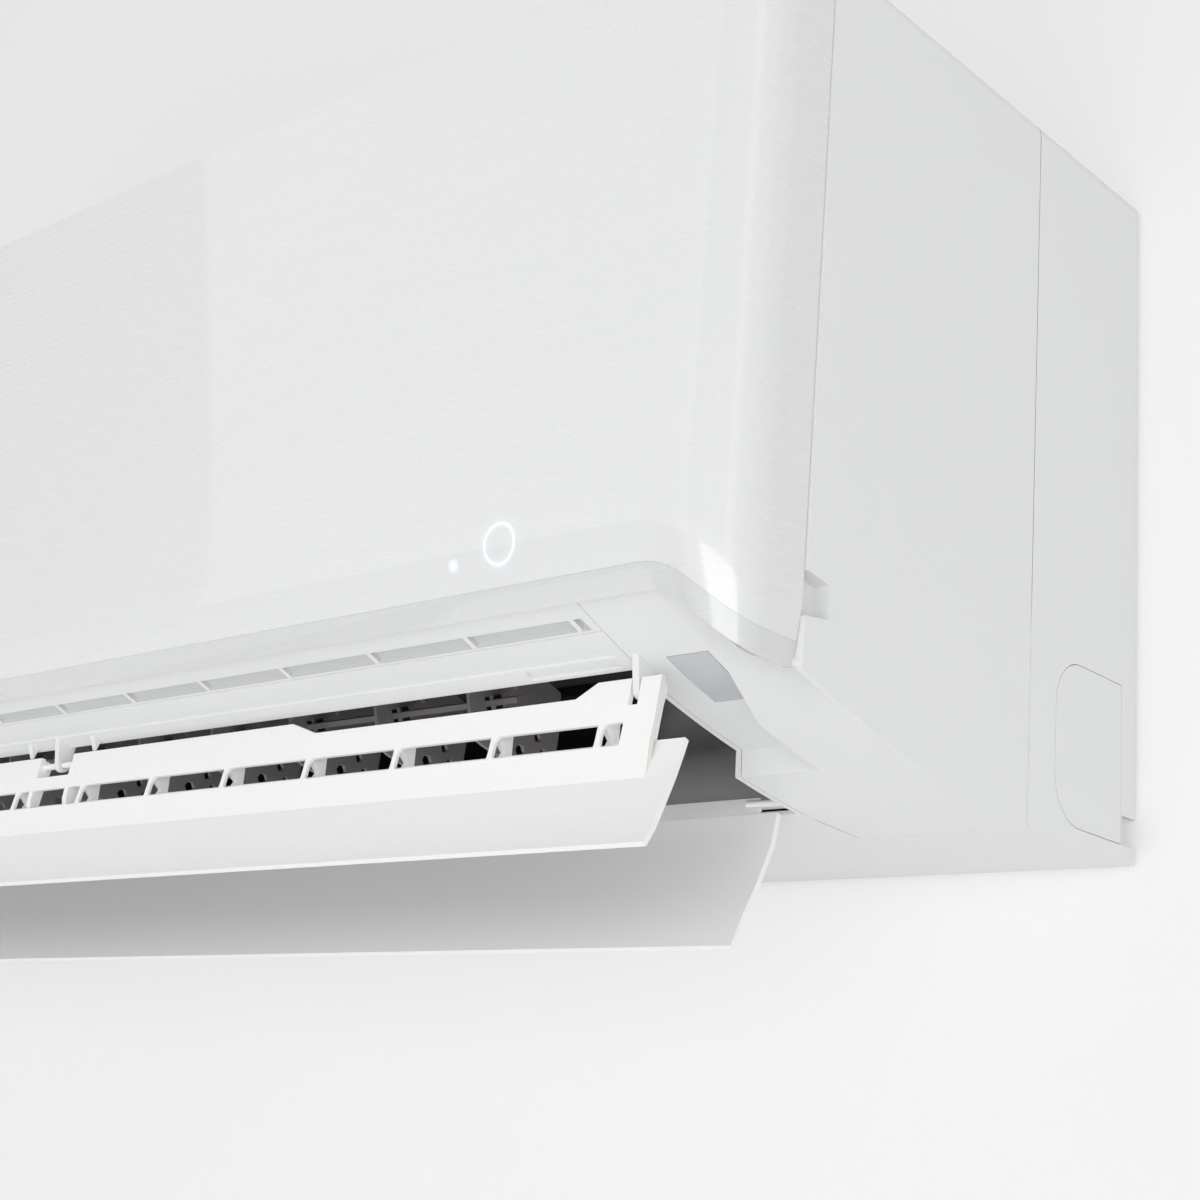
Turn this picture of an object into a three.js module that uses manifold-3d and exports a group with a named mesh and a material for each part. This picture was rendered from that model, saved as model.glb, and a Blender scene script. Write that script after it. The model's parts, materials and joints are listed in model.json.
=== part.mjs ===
// Wall-hung mini split indoor unit, millimetres, +Z up.
// X runs along the unit (right when facing it), -Y is the front, the wall is the plane Y = 0.
// The sizes below count heights from the unit's rear bottom edge; the finished group is
// lowered so that its origin is the centre of the mounting plate's back face.
import * as THREE from 'three';
import { mergeVertices } from 'three/addons/utils/BufferGeometryUtils.js';
import Module from 'manifold-3d';

const wasm = await Module();
wasm.setup();

// ---------- driving dimensions ----------
const WIDTH = 851;              // casing, end to end
const DEPTH = 270;              // wall to front face
const HEIGHT = 296;             // bottom to top grille
const WALL = 2.5;               // moulded casing wall
const GAP = 0.3;                // seam between two pieces that touch
const CASING_CORNER = 8;        // top edge rounding along the sides
const half = WIDTH / 2;

const SEAM_Y = -84.6;           // side seam between rear chassis and front casing
const PANEL_REAR_Y = 41 - DEPTH;      // rear edge of the panel's side returns
const PANEL_TOP_Z = HEIGHT - 6;
const PANEL_CORNER = 24;        // plan radius of the panel's front corners
const PANEL_WALL = 3;
const PANEL_FLANGE_Y = 30 - DEPTH;    // rear edge of the panel's top return
const PANEL_PIVOT = [34 - DEPTH, HEIGHT - 10];
const PANEL_PIN = 2;
const HINGE_X = half - 31.5;
const HINGE_HALF = 3;
const LIP_Z = 49;               // clear lower lip, straight part
const LIP_DROP = 22.5;          // how far the lip falls round each corner
const LIP_DROP_START = half - 41.5;   // half width where the lip starts to fall
const LIP_DROP_RUN = 54;        // length along the lip over which it falls
const LIP_ROLL = 8;             // how far the lip rolls inward under the front
const LIP_ROLL_RISE = 31;       // height over which it rolls
const LIP_CLEAR = 9;            // clear band below the pearl backing
const BACKING_WALL = 1.2;
const BACKING_GAP = 0.4;
const BACKING_RISES = [LIP_CLEAR, 19, LIP_ROLL_RISE];

const UNDERSIDE_RISE = 26.5;    // rise of the side's bottom edge from the seam to the panel
const UNDERSIDE_POWER = 1.75;   // its curvature
const REBATE = 10;              // depth of the louvre seat above that edge
const REBATE_FLARE = 0.08;      // extra depth per mm of reach in front of the seat
const REBATE_FLARE_Y = 59 - DEPTH;
const REBATE_END_Y = -163;      // rear wall of the louvre seat
const REBATE_HALF = half - 40.5;      // outer wall of the louvre seat
const DUCT_HALF = half - 77.5;  // inner face of the duct's end walls
const CAP_INNER = DUCT_HALF + WALL + GAP;   // inner edge of the end caps
const CAP_INSET = 8;            // plan inset of their front edge from the panel's face

const STRIP_FRONT_Y = 11.5 - DEPTH;   // trim strip, front and rear edges
const STRIP_REAR_Y = 47 - DEPTH;
const STRIP_WALL = 3;
const SLOT_FRONT_Y = 19 - DEPTH;      // ribbed slot in the trim strip
const SLOT_REAR_Y = 25 - DEPTH;
const SLOT_DEPTH = 2;
const RIB_PITCH = 52.5;         // slot ribs and louvre ribs
const RIB_COUNT = 2 * Math.floor((DUCT_HALF - 6) / RIB_PITCH + 0.5);
const RIB_WALL = 2.4;

const UPPER_PIVOT = [44.1 - DEPTH, 26.6];   // y, z of the upper louvre's pivot
const UPPER_HALF = DUCT_HALF + 30;
const UPPER_TAB_HALF = DUCT_HALF + 18;
const UPPER_WINDOW_HALF = DUCT_HALF + 4;
const UPPER_DIP = [186, 163, 21, 7];  // its dips at each end, measured in from the duct's end wall
const UPPER_SHEET = 2.2;
const UPPER_NOTCH = 13;               // half width of the notch at the centre hook
const LOWER_PIVOT = [-129.8, 6.2];    // y, z of the lower louvre's pivot
const LOWER_HALF = DUCT_HALF - 3;
const LOWER_NECK_HALF = DUCT_HALF - 13;
const LOWER_SHEET = 2.4;
const UPPER_LUG_X = DUCT_HALF + 6.7;  // centre of the louvre's end lugs
const LUG_HALF = 1.5;
const OUTLET_REAR_Y = -123.5;
const LOUVRE_PIN = 1.5;               // pin radius
const PIN_CLEAR = 0.3;

const CEILING_FRONT = [48 - DEPTH, 39];     // y, z where the duct's ceiling starts
const CEILING_REAR = [-166, 62.08];         // and where it ends
const FRAME_FRONT_Y = 18 - DEPTH;     // casing frame behind the panel
const FRAME_HALF = half - 12.5;
const BEAM_Z = HEIGHT - 16;
const SHELF_Z = 66;
const PAN_FRONT_Y = 38.5 - DEPTH;
const VANE_COUNT = 10;
const VANE_PITCH = 55.6;
const VANE_LAST_X = 233;
const VANE_WALL = 1.8;
const VANE_PIVOT_Y = -170;
const VANE_PIN = 2;
const LINK_OFFSET = 14.2;             // from vane pivot to link pin
const LINK_DROP = 10.9;               // link bar below the ceiling
const LINK_WALL = 2.4;
const LINK_PIN = 1.1;

const FAN_Y = -112;
const FAN_Z = 112;
const FAN_RADIUS = 47;
const FAN_HALF = DUCT_HALF - 10;
const FAN_BLADES = 12;
const FAN_DISCS = 4;
const BEARING_RADIUS = 14;
const MOTOR = { radius: 44, x0: DUCT_HALF + 6, x1: DUCT_HALF + 52 };
const SHAFT_RADIUS = 4;
const SCROLL_START = 53;              // scroll radius behind the top of the fan
const SCROLL_GROWTH = 0.1887;         // growth of that radius per radian
const SCROLL_WALL = 2.5;
const POST_Y = FAN_Y + MOTOR.radius + 6;   // stiffening webs outside the duct

const COIL_THICK = 26;
const COIL_HALF = DUCT_HALF - 16;
const COILS = {
  frontLower: [[61 - DEPTH, 70], [61 - DEPTH, 168]],
  frontUpper: [[66 - DEPTH, 180], [-128, HEIGHT - 30]],
  rear: [[-104, HEIGHT - 32], [-44, 178]],
};
const TUBE_RADIUS = 3.5;
const TUBE_PITCH = 21;

const CHANNEL_TOP = 76;               // pipe channel behind the chassis
const CHANNEL_DEPTH = 47;
const BACK_Y = -12;                   // rear face of the chassis back wall
const PLATE_HALF = half - 125.5;
const PLATE_BOTTOM = 95;
const PLATE_TOP = HEIGHT - 31;
const PLATE_WALL = 1.5;
const HOOK_X = PLATE_HALF - 90;
const HOOK_HALF = 14;
const HOOK_Z = PLATE_TOP - 15;
const HOOK_WALL = 2;

const PORT = { front: -65, rear: -12, bottom: 6.5, top: 72, corner: 19 };
const FINGER = { front: 41.2 - DEPTH, rear: 54 - DEPTH, bottom: 44, top: 60, depth: 6 };
const LENS = {
  inner: half - 59.5, outer: half - 41.5, front: 43 - DEPTH, rear: 71 - DEPTH, wall: 1.8, lip: 2,
};
const RING = { x: half - 104.2, z: 72.9, radius: 9.6, bore: 7.4, front: 7.4 - DEPTH };
const DOT = { x: RING.x - 23, z: 68.2, radius: 4 };
const BUTTON = { x: RING.x - 59.3, z: 76, radius: 4 };
const FILTER = {
  inner: 6, outer: DUCT_HALF - 5, rear: 34 - DEPTH, wall: 2, bottom: SHELF_Z + GAP, top: BEAM_Z - 9,
};
const SCREWS = [-220, 0, 220];
const SCREW_Z = 58;
const SCREW_RADIUS = 2;
const VANE_MOTORS = [6.5, 2.5].map((k) => VANE_LAST_X - k * VANE_PITCH);
const GRILLE = { front: 48 - DEPTH, rear: -98, rows: 2, slots: 11, bar: 5 };
const PIPE_Y = -24;
const PIPE_END_X = DUCT_HALF - 18;
const PIPE_RUN_X = -60;
const PIPE_BEND = 18;
const PIPES = [{ z: 56, radius: 6.4 }, { z: 34, radius: 3.2 }];
const HOSE = { z: 13, radius: 8, bore: 5.5, x: DUCT_HALF - 48, ribs: 6, pitch: 45 };

// ---------- finishes ----------
const finish = (color, roughness, metalness = 0) =>
  new THREE.MeshStandardMaterial({ color, roughness, metalness });
const WHITE = () => finish(0xf2f3f3, 0.45);
const GLOSS = () => finish(0xf7f8f8, 0.08);
const DARK = () => finish(0x2a2b2c, 0.7);
const GREY = () => finish(0xb9bbbe, 0.15);
const STEEL = () => finish(0xb9bcbe, 0.4, 0.9);
const COPPER = () => finish(0xb8734a, 0.35, 1);
const ALUMINIUM = () => finish(0xc9ccce, 0.45, 0.8);
const BRASS = () => finish(0xc9a45a, 0.35, 1);
const BOARD = () => finish(0x1f6b3a, 0.6);

// ---------- solid modelling helpers ----------
function solid(geometry) {
  const bare = geometry.index ? geometry.toNonIndexed() : geometry.clone();
  bare.deleteAttribute('normal');
  bare.deleteAttribute('uv');
  const merged = mergeVertices(bare, 1e-4);
  return new wasm.Manifold(new wasm.Mesh({
    numProp: 3,
    vertProperties: new Float32Array(merged.attributes.position.array),
    triVerts: new Uint32Array(merged.index.array),
  }));
}

function geometryOf(body) {
  const mesh = body.getMesh();
  const geometry = new THREE.BufferGeometry();
  geometry.setAttribute('position', new THREE.BufferAttribute(new Float32Array(mesh.vertProperties), 3));
  geometry.setIndex(new THREE.BufferAttribute(new Uint32Array(mesh.triVerts), 1));
  geometry.computeVertexNormals();
  return geometry;
}

const join = (...bodies) => bodies.flat().reduce((sum, body) => sum.add(body));
const cut = (body, ...tools) => tools.flat().reduce((rest, tool) => rest.subtract(tool), body);

const toShape = (outline) => (outline instanceof THREE.Shape
  ? outline : new THREE.Shape(outline.map(([a, b]) => new THREE.Vector2(a, b))));

function extrude(outline, length, basis, holes, curveSegments) {
  const shape = toShape(outline);
  for (const hole of holes) shape.holes.push(toShape(hole));
  const geometry = new THREE.ExtrudeGeometry(shape, { depth: length, bevelEnabled: false, curveSegments });
  return geometry.applyMatrix4(basis);
}

// outline in (y, z), running from x0 to x1
function alongX(outline, x0, x1, holes = [], segments = 6) {
  const basis = new THREE.Matrix4().set(0, 0, 1, x0, 1, 0, 0, 0, 0, 1, 0, 0, 0, 0, 0, 1);
  return solid(extrude(outline, x1 - x0, basis, holes, segments));
}

// outline in (x, z), running from y0 to y1
function alongY(outline, y0, y1, holes = [], segments = 6) {
  const basis = new THREE.Matrix4().set(1, 0, 0, 0, 0, 0, -1, y1, 0, 1, 0, 0, 0, 0, 0, 1);
  return solid(extrude(outline, y1 - y0, basis, holes, segments));
}

// outline in (x, y), running from z0 to z1
function alongZ(outline, z0, z1, holes = [], segments = 6) {
  const basis = new THREE.Matrix4().makeTranslation(0, 0, z0);
  return solid(extrude(outline, z1 - z0, basis, holes, segments));
}

function block(x0, x1, y0, y1, z0, z1) {
  const geometry = new THREE.BoxGeometry(x1 - x0, y1 - y0, z1 - z0);
  return solid(geometry.translate((x0 + x1) / 2, (y0 + y1) / 2, (z0 + z1) / 2));
}

function rodX(y, z, radius, x0, x1, sides = 16) {
  const geometry = new THREE.CylinderGeometry(radius, radius, x1 - x0, sides).rotateZ(Math.PI / 2);
  return solid(geometry.translate((x0 + x1) / 2, y, z));
}

function rodY(x, z, radius, y0, y1, sides = 16) {
  return solid(new THREE.CylinderGeometry(radius, radius, y1 - y0, sides).translate(x, (y0 + y1) / 2, z));
}

function circle(a, b, radius) {
  const shape = new THREE.Shape();
  shape.absarc(a, b, radius, 0, 2 * Math.PI, false);
  return shape;
}

function roundedRectangle(a0, a1, b0, b1, r) {
  const shape = new THREE.Shape();
  shape.moveTo(a0 + r, b0);
  shape.lineTo(a1 - r, b0);
  shape.absarc(a1 - r, b0 + r, r, -Math.PI / 2, 0, false);
  shape.lineTo(a1, b1 - r);
  shape.absarc(a1 - r, b1 - r, r, 0, Math.PI / 2, false);
  shape.lineTo(a0 + r, b1);
  shape.absarc(a0 + r, b1 - r, r, Math.PI / 2, Math.PI, false);
  shape.lineTo(a0, b0 + r);
  shape.absarc(a0 + r, b0 + r, r, Math.PI, 1.5 * Math.PI, false);
  return shape;
}

// a closed sheet between two grids of points, front[i][j] and back[i][j]
function sheet(front, back) {
  const rows = front.length;
  const columns = front[0].length;
  const positions = [];
  const quad = (a, b, c, d) => positions.push(...a, ...b, ...c, ...a, ...c, ...d);
  for (let i = 0; i < rows - 1; i += 1) {
    for (let j = 0; j < columns - 1; j += 1) {
      quad(front[i][j], front[i][j + 1], front[i + 1][j + 1], front[i + 1][j]);
      quad(back[i][j], back[i + 1][j], back[i + 1][j + 1], back[i][j + 1]);
    }
  }
  for (let i = 0; i < rows - 1; i += 1) {
    const end = columns - 1;
    quad(front[i][0], front[i + 1][0], back[i + 1][0], back[i][0]);
    quad(front[i][end], back[i][end], back[i + 1][end], front[i + 1][end]);
  }
  for (let j = 0; j < columns - 1; j += 1) {
    const end = rows - 1;
    quad(front[0][j], back[0][j], back[0][j + 1], front[0][j + 1]);
    quad(front[end][j], front[end][j + 1], back[end][j + 1], back[end][j]);
  }
  const geometry = new THREE.BufferGeometry();
  geometry.setAttribute('position', new THREE.Float32BufferAttribute(positions, 3));
  const body = solid(geometry);
  if (body.volume() > 0) return body;
  for (let k = 0; k < positions.length; k += 9) {
    for (let c = 0; c < 3; c += 1) {
      [positions[k + c], positions[k + 3 + c]] = [positions[k + 3 + c], positions[k + c]];
    }
  }
  const flipped = new THREE.BufferGeometry();
  flipped.setAttribute('position', new THREE.Float32BufferAttribute(positions, 3));
  return solid(flipped);
}

// the same body on the other end of the unit
function mirrored(body) {
  const mesh = body.getMesh();
  const positions = mesh.vertProperties.map((value, index) => (index % 3 === 0 ? -value : value));
  const triangles = mesh.triVerts.slice();
  for (let k = 0; k < triangles.length; k += 3) {
    [triangles[k], triangles[k + 1]] = [triangles[k + 1], triangles[k]];
  }
  return new wasm.Manifold(new wasm.Mesh({ numProp: 3, vertProperties: positions, triVerts: triangles }));
}

const bothEnds = (body) => [body, mirrored(body)];
const range = (count) => Array.from({ length: count }, (_, index) => index);
const radians = (degrees) => degrees * Math.PI / 180;

// a thin wall of constant thickness that follows a line of points in (y, z)
function wallAlong(line, thickness) {
  const side = line.map(([a, b], index) => {
    const before = line[Math.max(index - 1, 0)];
    const after = line[Math.min(index + 1, line.length - 1)];
    const length = Math.hypot(after[0] - before[0], after[1] - before[1]);
    return [a - (after[1] - before[1]) / length * thickness, b + (after[0] - before[0]) / length * thickness];
  });
  return [...line, ...side.reverse()];
}

// ---------- shared curves ----------
const outerLine = (y) => (y > SEAM_Y ? 0
  : UNDERSIDE_RISE * ((SEAM_Y - y) / (SEAM_Y - PANEL_REAR_Y)) ** UNDERSIDE_POWER);
const seatLine = (y) => outerLine(y) + REBATE + REBATE_FLARE * Math.max(0, REBATE_FLARE_Y - y);
// points given as distance behind the front face and height
const behindFront = (points) => points.map(([depth, z]) => [depth - DEPTH, z]);
const steps = (from, to, count) => range(count + 1).map((k) => from + (to - from) * k / count);
const clamp01 = (t) => Math.min(1, Math.max(0, t));
const smooth = (t) => clamp01(t) ** 2 * (3 - 2 * clamp01(t));

// height of the underside skin outside the duct
function skinHeight(x, y) {
  if (y > REBATE_END_Y) return outerLine(y);
  const lift = seatLine(y) - outerLine(y);
  if (x <= REBATE_HALF) return outerLine(y) + lift;
  const roll = Math.cos(clamp01((x - LIP_DROP_START) / (half - LIP_DROP_START)) * Math.PI / 2) ** 1.5;
  const fade = 1 - smooth((y - STRIP_REAR_Y) / 25);
  return outerLine(y) + lift * roll * fade;
}

// the panel's plan line from the right rear edge round the front to the left rear edge
function planLine(inset) {
  const radius = PANEL_CORNER - inset;
  const side = half - 1 - inset;
  const front = -DEPTH + inset;
  const corner = steps(0, 90, 6).map((angle) => {
    const a = radians(angle);
    return [side - radius + radius * Math.cos(a), front + radius - radius * Math.sin(a)];
  });
  const right = [[side, PANEL_REAR_Y], ...corner, [LIP_DROP_START, front], [LIP_DROP_START / 2, front]];
  return [...right, [0, front], ...right.slice().reverse().map(([x, y]) => [-x, y])];
}

// 0 where a plan point of the panel faces the front, a right angle where it faces the side
function cornerAngle([x, y]) {
  const out = Math.abs(x) - (half - 1 - PANEL_CORNER);
  const back = -DEPTH + PANEL_CORNER - y;
  if (out <= 0) return 0;
  return back <= 0 ? Math.PI / 2 : Math.atan2(out, back);
}

// how far the lip has fallen at a plan point
function lipFall(point) {
  const straight = Math.min(Math.abs(point[0]), half - 1 - PANEL_CORNER) - LIP_DROP_START;
  const run = straight + PANEL_CORNER * cornerAngle(point);
  return LIP_DROP * (1 - Math.cos(Math.PI * clamp01(run / LIP_DROP_RUN))) / 2;
}

// grid of the panel's skin, inset from its outer face, with rows at these rises above the lip's edge
function panelGrid(inset, rises, topZ) {
  const outline = planLine(0);
  const inner = planLine(inset);
  const rows = rises.map((rise) => outline.map((point, index) => {
    const bottom = LIP_Z - lipFall(point);
    const turn = (1 - rise / LIP_ROLL_RISE) ** 2;
    const facing = cornerAngle(point);
    const roll = turn * LIP_ROLL * (1 - 0.6 * Math.sin(facing));
    const inward = [-Math.sign(point[0]) * Math.sin(facing), Math.cos(facing)];
    return [inner[index][0] + roll * inward[0], inner[index][1] + roll * inward[1], bottom + rise];
  }));
  rows.push(inner.map(([x, y]) => [x, y, topZ]));
  return rows;
}

// ---------- wall side ----------
function mountingPlate() {
  const holes = [50 - PLATE_HALF, 0, PLATE_HALF - 50].flatMap((x) => [
    roundedRectangle(x - 12, x + 12, PLATE_TOP - 30, PLATE_TOP - 24, 2.9),
    circle(x, (PLATE_BOTTOM + PLATE_TOP) / 2 + 25, 3),
    roundedRectangle(x - 8, x + 8, PLATE_BOTTOM + 14, PLATE_BOTTOM + 20, 2.9),
  ]);
  const outline = roundedRectangle(-PLATE_HALF, PLATE_HALF, PLATE_BOTTOM, PLATE_TOP, 6);
  const plate = alongY(outline, -PLATE_WALL, 0, holes, 2);
  const reach = BACK_Y - WALL;
  const hooks = [-HOOK_X, HOOK_X].map((x) => join(
    block(x - HOOK_HALF, x + HOOK_HALF, reach - 3, 0, HOOK_Z - HOOK_WALL, HOOK_Z),
    block(x - HOOK_HALF, x + HOOK_HALF, reach - 3, reach - 1, HOOK_Z - HOOK_WALL, HOOK_Z + 7),
  ));
  const ribs = [-60, 60].map((x) => block(x - 45, x + 45, -4, 0, PLATE_BOTTOM + 60, PLATE_BOTTOM + 64));
  return join(plate, hooks, ribs);
}

const sideOutline = (y0, y1) => [
  ...steps(y1, y0, 10).map((y) => [y, outerLine(y)]), [y0, HEIGHT], [y1, HEIGHT]];

// the casing's section in (x, z), open at the bottom
function hoodSection(inset) {
  const side = half - inset;
  const top = HEIGHT - inset;
  const r = CASING_CORNER - inset;
  const shape = new THREE.Shape();
  shape.moveTo(-side, -1);
  shape.lineTo(side, -1);
  shape.lineTo(side, top - r);
  shape.absarc(side - r, top - r, r, 0, Math.PI / 2, false);
  shape.lineTo(-side + r, top);
  shape.absarc(-side + r, top - r, r, Math.PI / 2, Math.PI, false);
  return shape;
}

const hood = (y0, y1) => cut(alongY(hoodSection(0), y0, y1, [], 4),
  alongY(hoodSection(WALL), y0 - 1, y1 + 1, [], 4));

function scrollLine() {
  const turn = steps(45, -80, 9).map((angle) => {
    const radius = SCROLL_START * Math.exp(SCROLL_GROWTH * radians(45 - angle));
    return [FAN_Y + radius * Math.cos(radians(angle)), FAN_Z + radius * Math.sin(radians(angle))];
  });
  return [...turn, [OUTLET_REAR_Y, outerLine(OUTLET_REAR_Y) + WALL]];
}

function portOutline(shrink) {
  const { front, rear, bottom, top, corner } = PORT;
  const shape = new THREE.Shape();
  const r = corner - shrink;
  shape.moveTo(rear - shrink, bottom + shrink);
  shape.lineTo(rear - shrink, top - shrink);
  shape.lineTo(front + shrink + r, top - shrink);
  shape.absarc(front + shrink + r, top - shrink - r, r, Math.PI / 2, Math.PI, false);
  shape.lineTo(front + shrink, bottom + shrink + r);
  shape.absarc(front + shrink + r, bottom + shrink + r, r, Math.PI, 1.5 * Math.PI, false);
  return shape;
}

// one of the two upright walls that close the duct and carry the fan and the coils
function endWall() {
  const seat = steps(STRIP_REAR_Y + 1, REBATE_END_Y, 6).map((y) => [y, seatLine(y)]);
  const rear = steps(REBATE_END_Y + 0.5, OUTLET_REAR_Y, 4).map((y) => [y, outerLine(y)]);
  const front = STRIP_REAR_Y + 2;
  const crown = HEIGHT - 24;
  const top = [[-52, WALL], [-52, 200], [-96, crown], [-150, crown], [front, 180], [front, 90],
    [STRIP_REAR_Y + 1, 42]];
  const wall = alongX([...seat, ...rear, ...top], DUCT_HALF, DUCT_HALF + WALL);
  const x0 = DUCT_HALF - 1;
  const x1 = DUCT_HALF + WALL + 1;
  return cut(wall, rodX(FAN_Y, FAN_Z, BEARING_RADIUS, x0, x1, 24),
    rodX(...LOWER_PIVOT, LOUVRE_PIN + PIN_CLEAR, x0, x1, 12));
}

function chassisFloor() {
  const underside = steps(SEAM_Y, OUTLET_REAR_Y, 3).map((y) => [y, outerLine(y)]);
  const lip = outerLine(OUTLET_REAR_Y) + 1.6;
  return alongX([[0, 0], ...underside, [OUTLET_REAR_Y, lip], [SEAM_Y, WALL], [0, WALL]], -half + 1, half - 1);
}

function rearChassis() {
  const floor = cut(chassisFloor(), bothEnds(block(CAP_INNER - GAP, half + 1, -200, SEAM_Y, -1, 20)));
  const back = block(-half + 1, half - 1, BACK_Y - WALL, BACK_Y, CHANNEL_TOP, HEIGHT - 1);
  const roof = block(-half + 1, half - 1, -CHANNEL_DEPTH - WALL, BACK_Y, CHANNEL_TOP, CHANNEL_TOP + WALL);
  const channelWall = block(-half + 1, half - 1, -CHANNEL_DEPTH - WALL, -CHANNEL_DEPTH, 1, CHANNEL_TOP + 1);
  const scroll = alongX(wallAlong(scrollLine(), -SCROLL_WALL), -DUCT_HALF - 1, DUCT_HALF + 1);
  const [topY, topZ] = scrollLine()[0];
  const shelf = block(-DUCT_HALF, DUCT_HALF, topY - 1, BACK_Y - 1, topZ, topZ + WALL);
  const gutter = block(-DUCT_HALF, DUCT_HALF, topY - 1, topY + WALL - 1, topZ, topZ + 16);
  const feet = [-174, 174].map((x) => block(x - 1, x + 1, -78, -CHANNEL_DEPTH - 1, 2, 36));
  const posts = bothEnds(block(DUCT_HALF + 1, half - 1, POST_Y, POST_Y + WALL, 1, HEIGHT - 1));
  const ports = bothEnds(alongX(portOutline(0), half - WALL - 1, half + 1));
  const notches = bothEnds(block(half - WALL - 1, half + 1, PORT.rear + 0.7, 1,
    PORT.bottom, PORT.bottom + 12));
  const hookSlots = [-HOOK_X, HOOK_X].map((x) => block(x - HOOK_HALF - 1, x + HOOK_HALF + 1,
    BACK_Y - WALL - 1, BACK_Y + 1, HOOK_Z - 12, HOOK_Z + GAP));
  const pipeHoles = PIPES.map(({ z, radius }) => rodY(PIPE_END_X, z, radius + GAP,
    -CHANNEL_DEPTH - WALL - 1, -CHANNEL_DEPTH + 1, 20));
  const hoseHole = rodY(HOSE.x, HOSE.z, HOSE.radius - 0.5, -CHANNEL_DEPTH - WALL - 1, -CHANNEL_DEPTH + 1, 20);
  const body = join(hood(SEAM_Y, 0), floor, back, roof, channelWall, scroll, shelf, gutter, feet,
    bothEnds(endWall()), posts);
  return cut(body, block(-half, half, SEAM_Y, 1, -3, 0), ports, notches, hookSlots, pipeHoles, hoseHole);
}

const portCover = () => alongX(portOutline(GAP), half - WALL, half);

// a bent round tube: in along +Y, a quarter turn, then along -X
function pipe(x, z, radius, runX, sides) {
  const bend = new THREE.QuadraticBezierCurve3(new THREE.Vector3(x, PIPE_Y - PIPE_BEND, z),
    new THREE.Vector3(x, PIPE_Y, z), new THREE.Vector3(x - PIPE_BEND, PIPE_Y, z));
  const elbow = new THREE.ExtrudeGeometry(circle(0, 0, radius),
    { steps: 5, extrudePath: bend, curveSegments: sides, bevelEnabled: false });
  const inlet = rodY(x, z, radius, -CHANNEL_DEPTH - WALL - 8, PIPE_Y - PIPE_BEND + 0.2, 2 * sides);
  return join(inlet, solid(elbow), rodX(PIPE_Y, z, radius, runX, x - PIPE_BEND + 0.2, 2 * sides));
}

function flareNut({ z, radius }) {
  const across = radius * 1.25 + 3;
  const nut = solid(new THREE.CylinderGeometry(across, across, 22, 6).rotateZ(Math.PI / 2)
    .translate(PIPE_RUN_X + 3, PIPE_Y, z));
  return cut(nut, rodX(PIPE_Y, z, radius + GAP, PIPE_RUN_X - 20, PIPE_RUN_X + 20, 20));
}

function drainHose() {
  const small = HOSE.radius - 0.8;
  const startX = HOSE.x - 40;
  const profile = [[0, 0], [small, 0]];
  for (let k = 0; k < HOSE.ribs; k += 1) {
    profile.push([small, 4 + k * HOSE.pitch], [HOSE.radius, 26 + k * HOSE.pitch]);
  }
  const length = 8 + HOSE.ribs * HOSE.pitch;
  profile.push([small, length], [0, length]);
  const points = profile.map(([r, h]) => new THREE.Vector2(r, h));
  const lathe = new THREE.LatheGeometry(points, 7).rotateZ(Math.PI / 2);
  const ribbed = solid(lathe.translate(startX, PIPE_Y, HOSE.z));
  const mouth = rodX(PIPE_Y, HOSE.z, HOSE.bore, startX - length - 1, startX - length + 18, 12);
  return cut(join(pipe(HOSE.x, HOSE.z, small - 0.4, startX - 1, 6), ribbed), mouth);
}

// ---------- front casing ----------
function grilleSlots() {
  const span = WIDTH - 60;
  const pitch = span / GRILLE.slots;
  const depth = (GRILLE.rear - GRILLE.front - GRILLE.bar) / GRILLE.rows;
  return range(GRILLE.slots).flatMap((i) => range(GRILLE.rows).map((j) => {
    const x = -span / 2 + i * pitch;
    const y = GRILLE.front + j * (depth + GRILLE.bar);
    return block(x + GRILLE.bar / 2, x + pitch - GRILLE.bar / 2, y, y + depth, HEIGHT - WALL - 1, HEIGHT + 1);
  }));
}

const capColumns = [CAP_INNER, REBATE_HALF, REBATE_HALF + 1,
  ...[31.5, 21, 11, 0.4].map((inset) => half - inset)];
const capRows = [...steps(STRIP_FRONT_Y, STRIP_REAR_Y - 2, 3), ...steps(STRIP_REAR_Y + 6, REBATE_END_Y, 3),
  REBATE_END_Y + 0.8, -142, -118, SEAM_Y - GAP];
const capSurface = (height) => capRows.map((y) => capColumns.map((x) => [x, y, height(x, y)]));

// underside skin at the right end, between the duct and the side wall
function endCap() {
  const skin = sheet(capSurface(skinHeight), capSurface((x, y) => skinHeight(x, y) + WALL));
  const inner = planLine(CAP_INSET).filter(([, y]) => y < PANEL_REAR_Y + 1);
  const limit = [...inner, [-half - 5, PANEL_REAR_Y], [-half - 5, 10],
    [half + 5, 10], [half + 5, PANEL_REAR_Y]];
  return cut(skin.intersect(alongZ(limit, -5, 80)), lensOpening());
}

function lensOpening() {
  const { inner, outer, front, rear } = LENS;
  return block(inner - GAP, outer + GAP, front - GAP, rear + GAP, 0, 60);
}

// the grey lens set into the end cap, with a lip behind the cap's skin
function receiverWindow() {
  const { inner, outer, front, rear, wall, lip } = LENS;
  const band = (y0, y1, low, high) => [...steps(y0, y1, 5).map((y) => [y, seatLine(y) + low]),
    ...steps(y1, y0, 5).map((y) => [y, seatLine(y) + high])];
  return join(alongX(band(front, rear, 0, WALL + wall), inner, outer),
    alongX(band(front - lip, rear + lip, WALL + 2 * GAP, WALL + wall), inner - lip, outer + lip));
}

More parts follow.
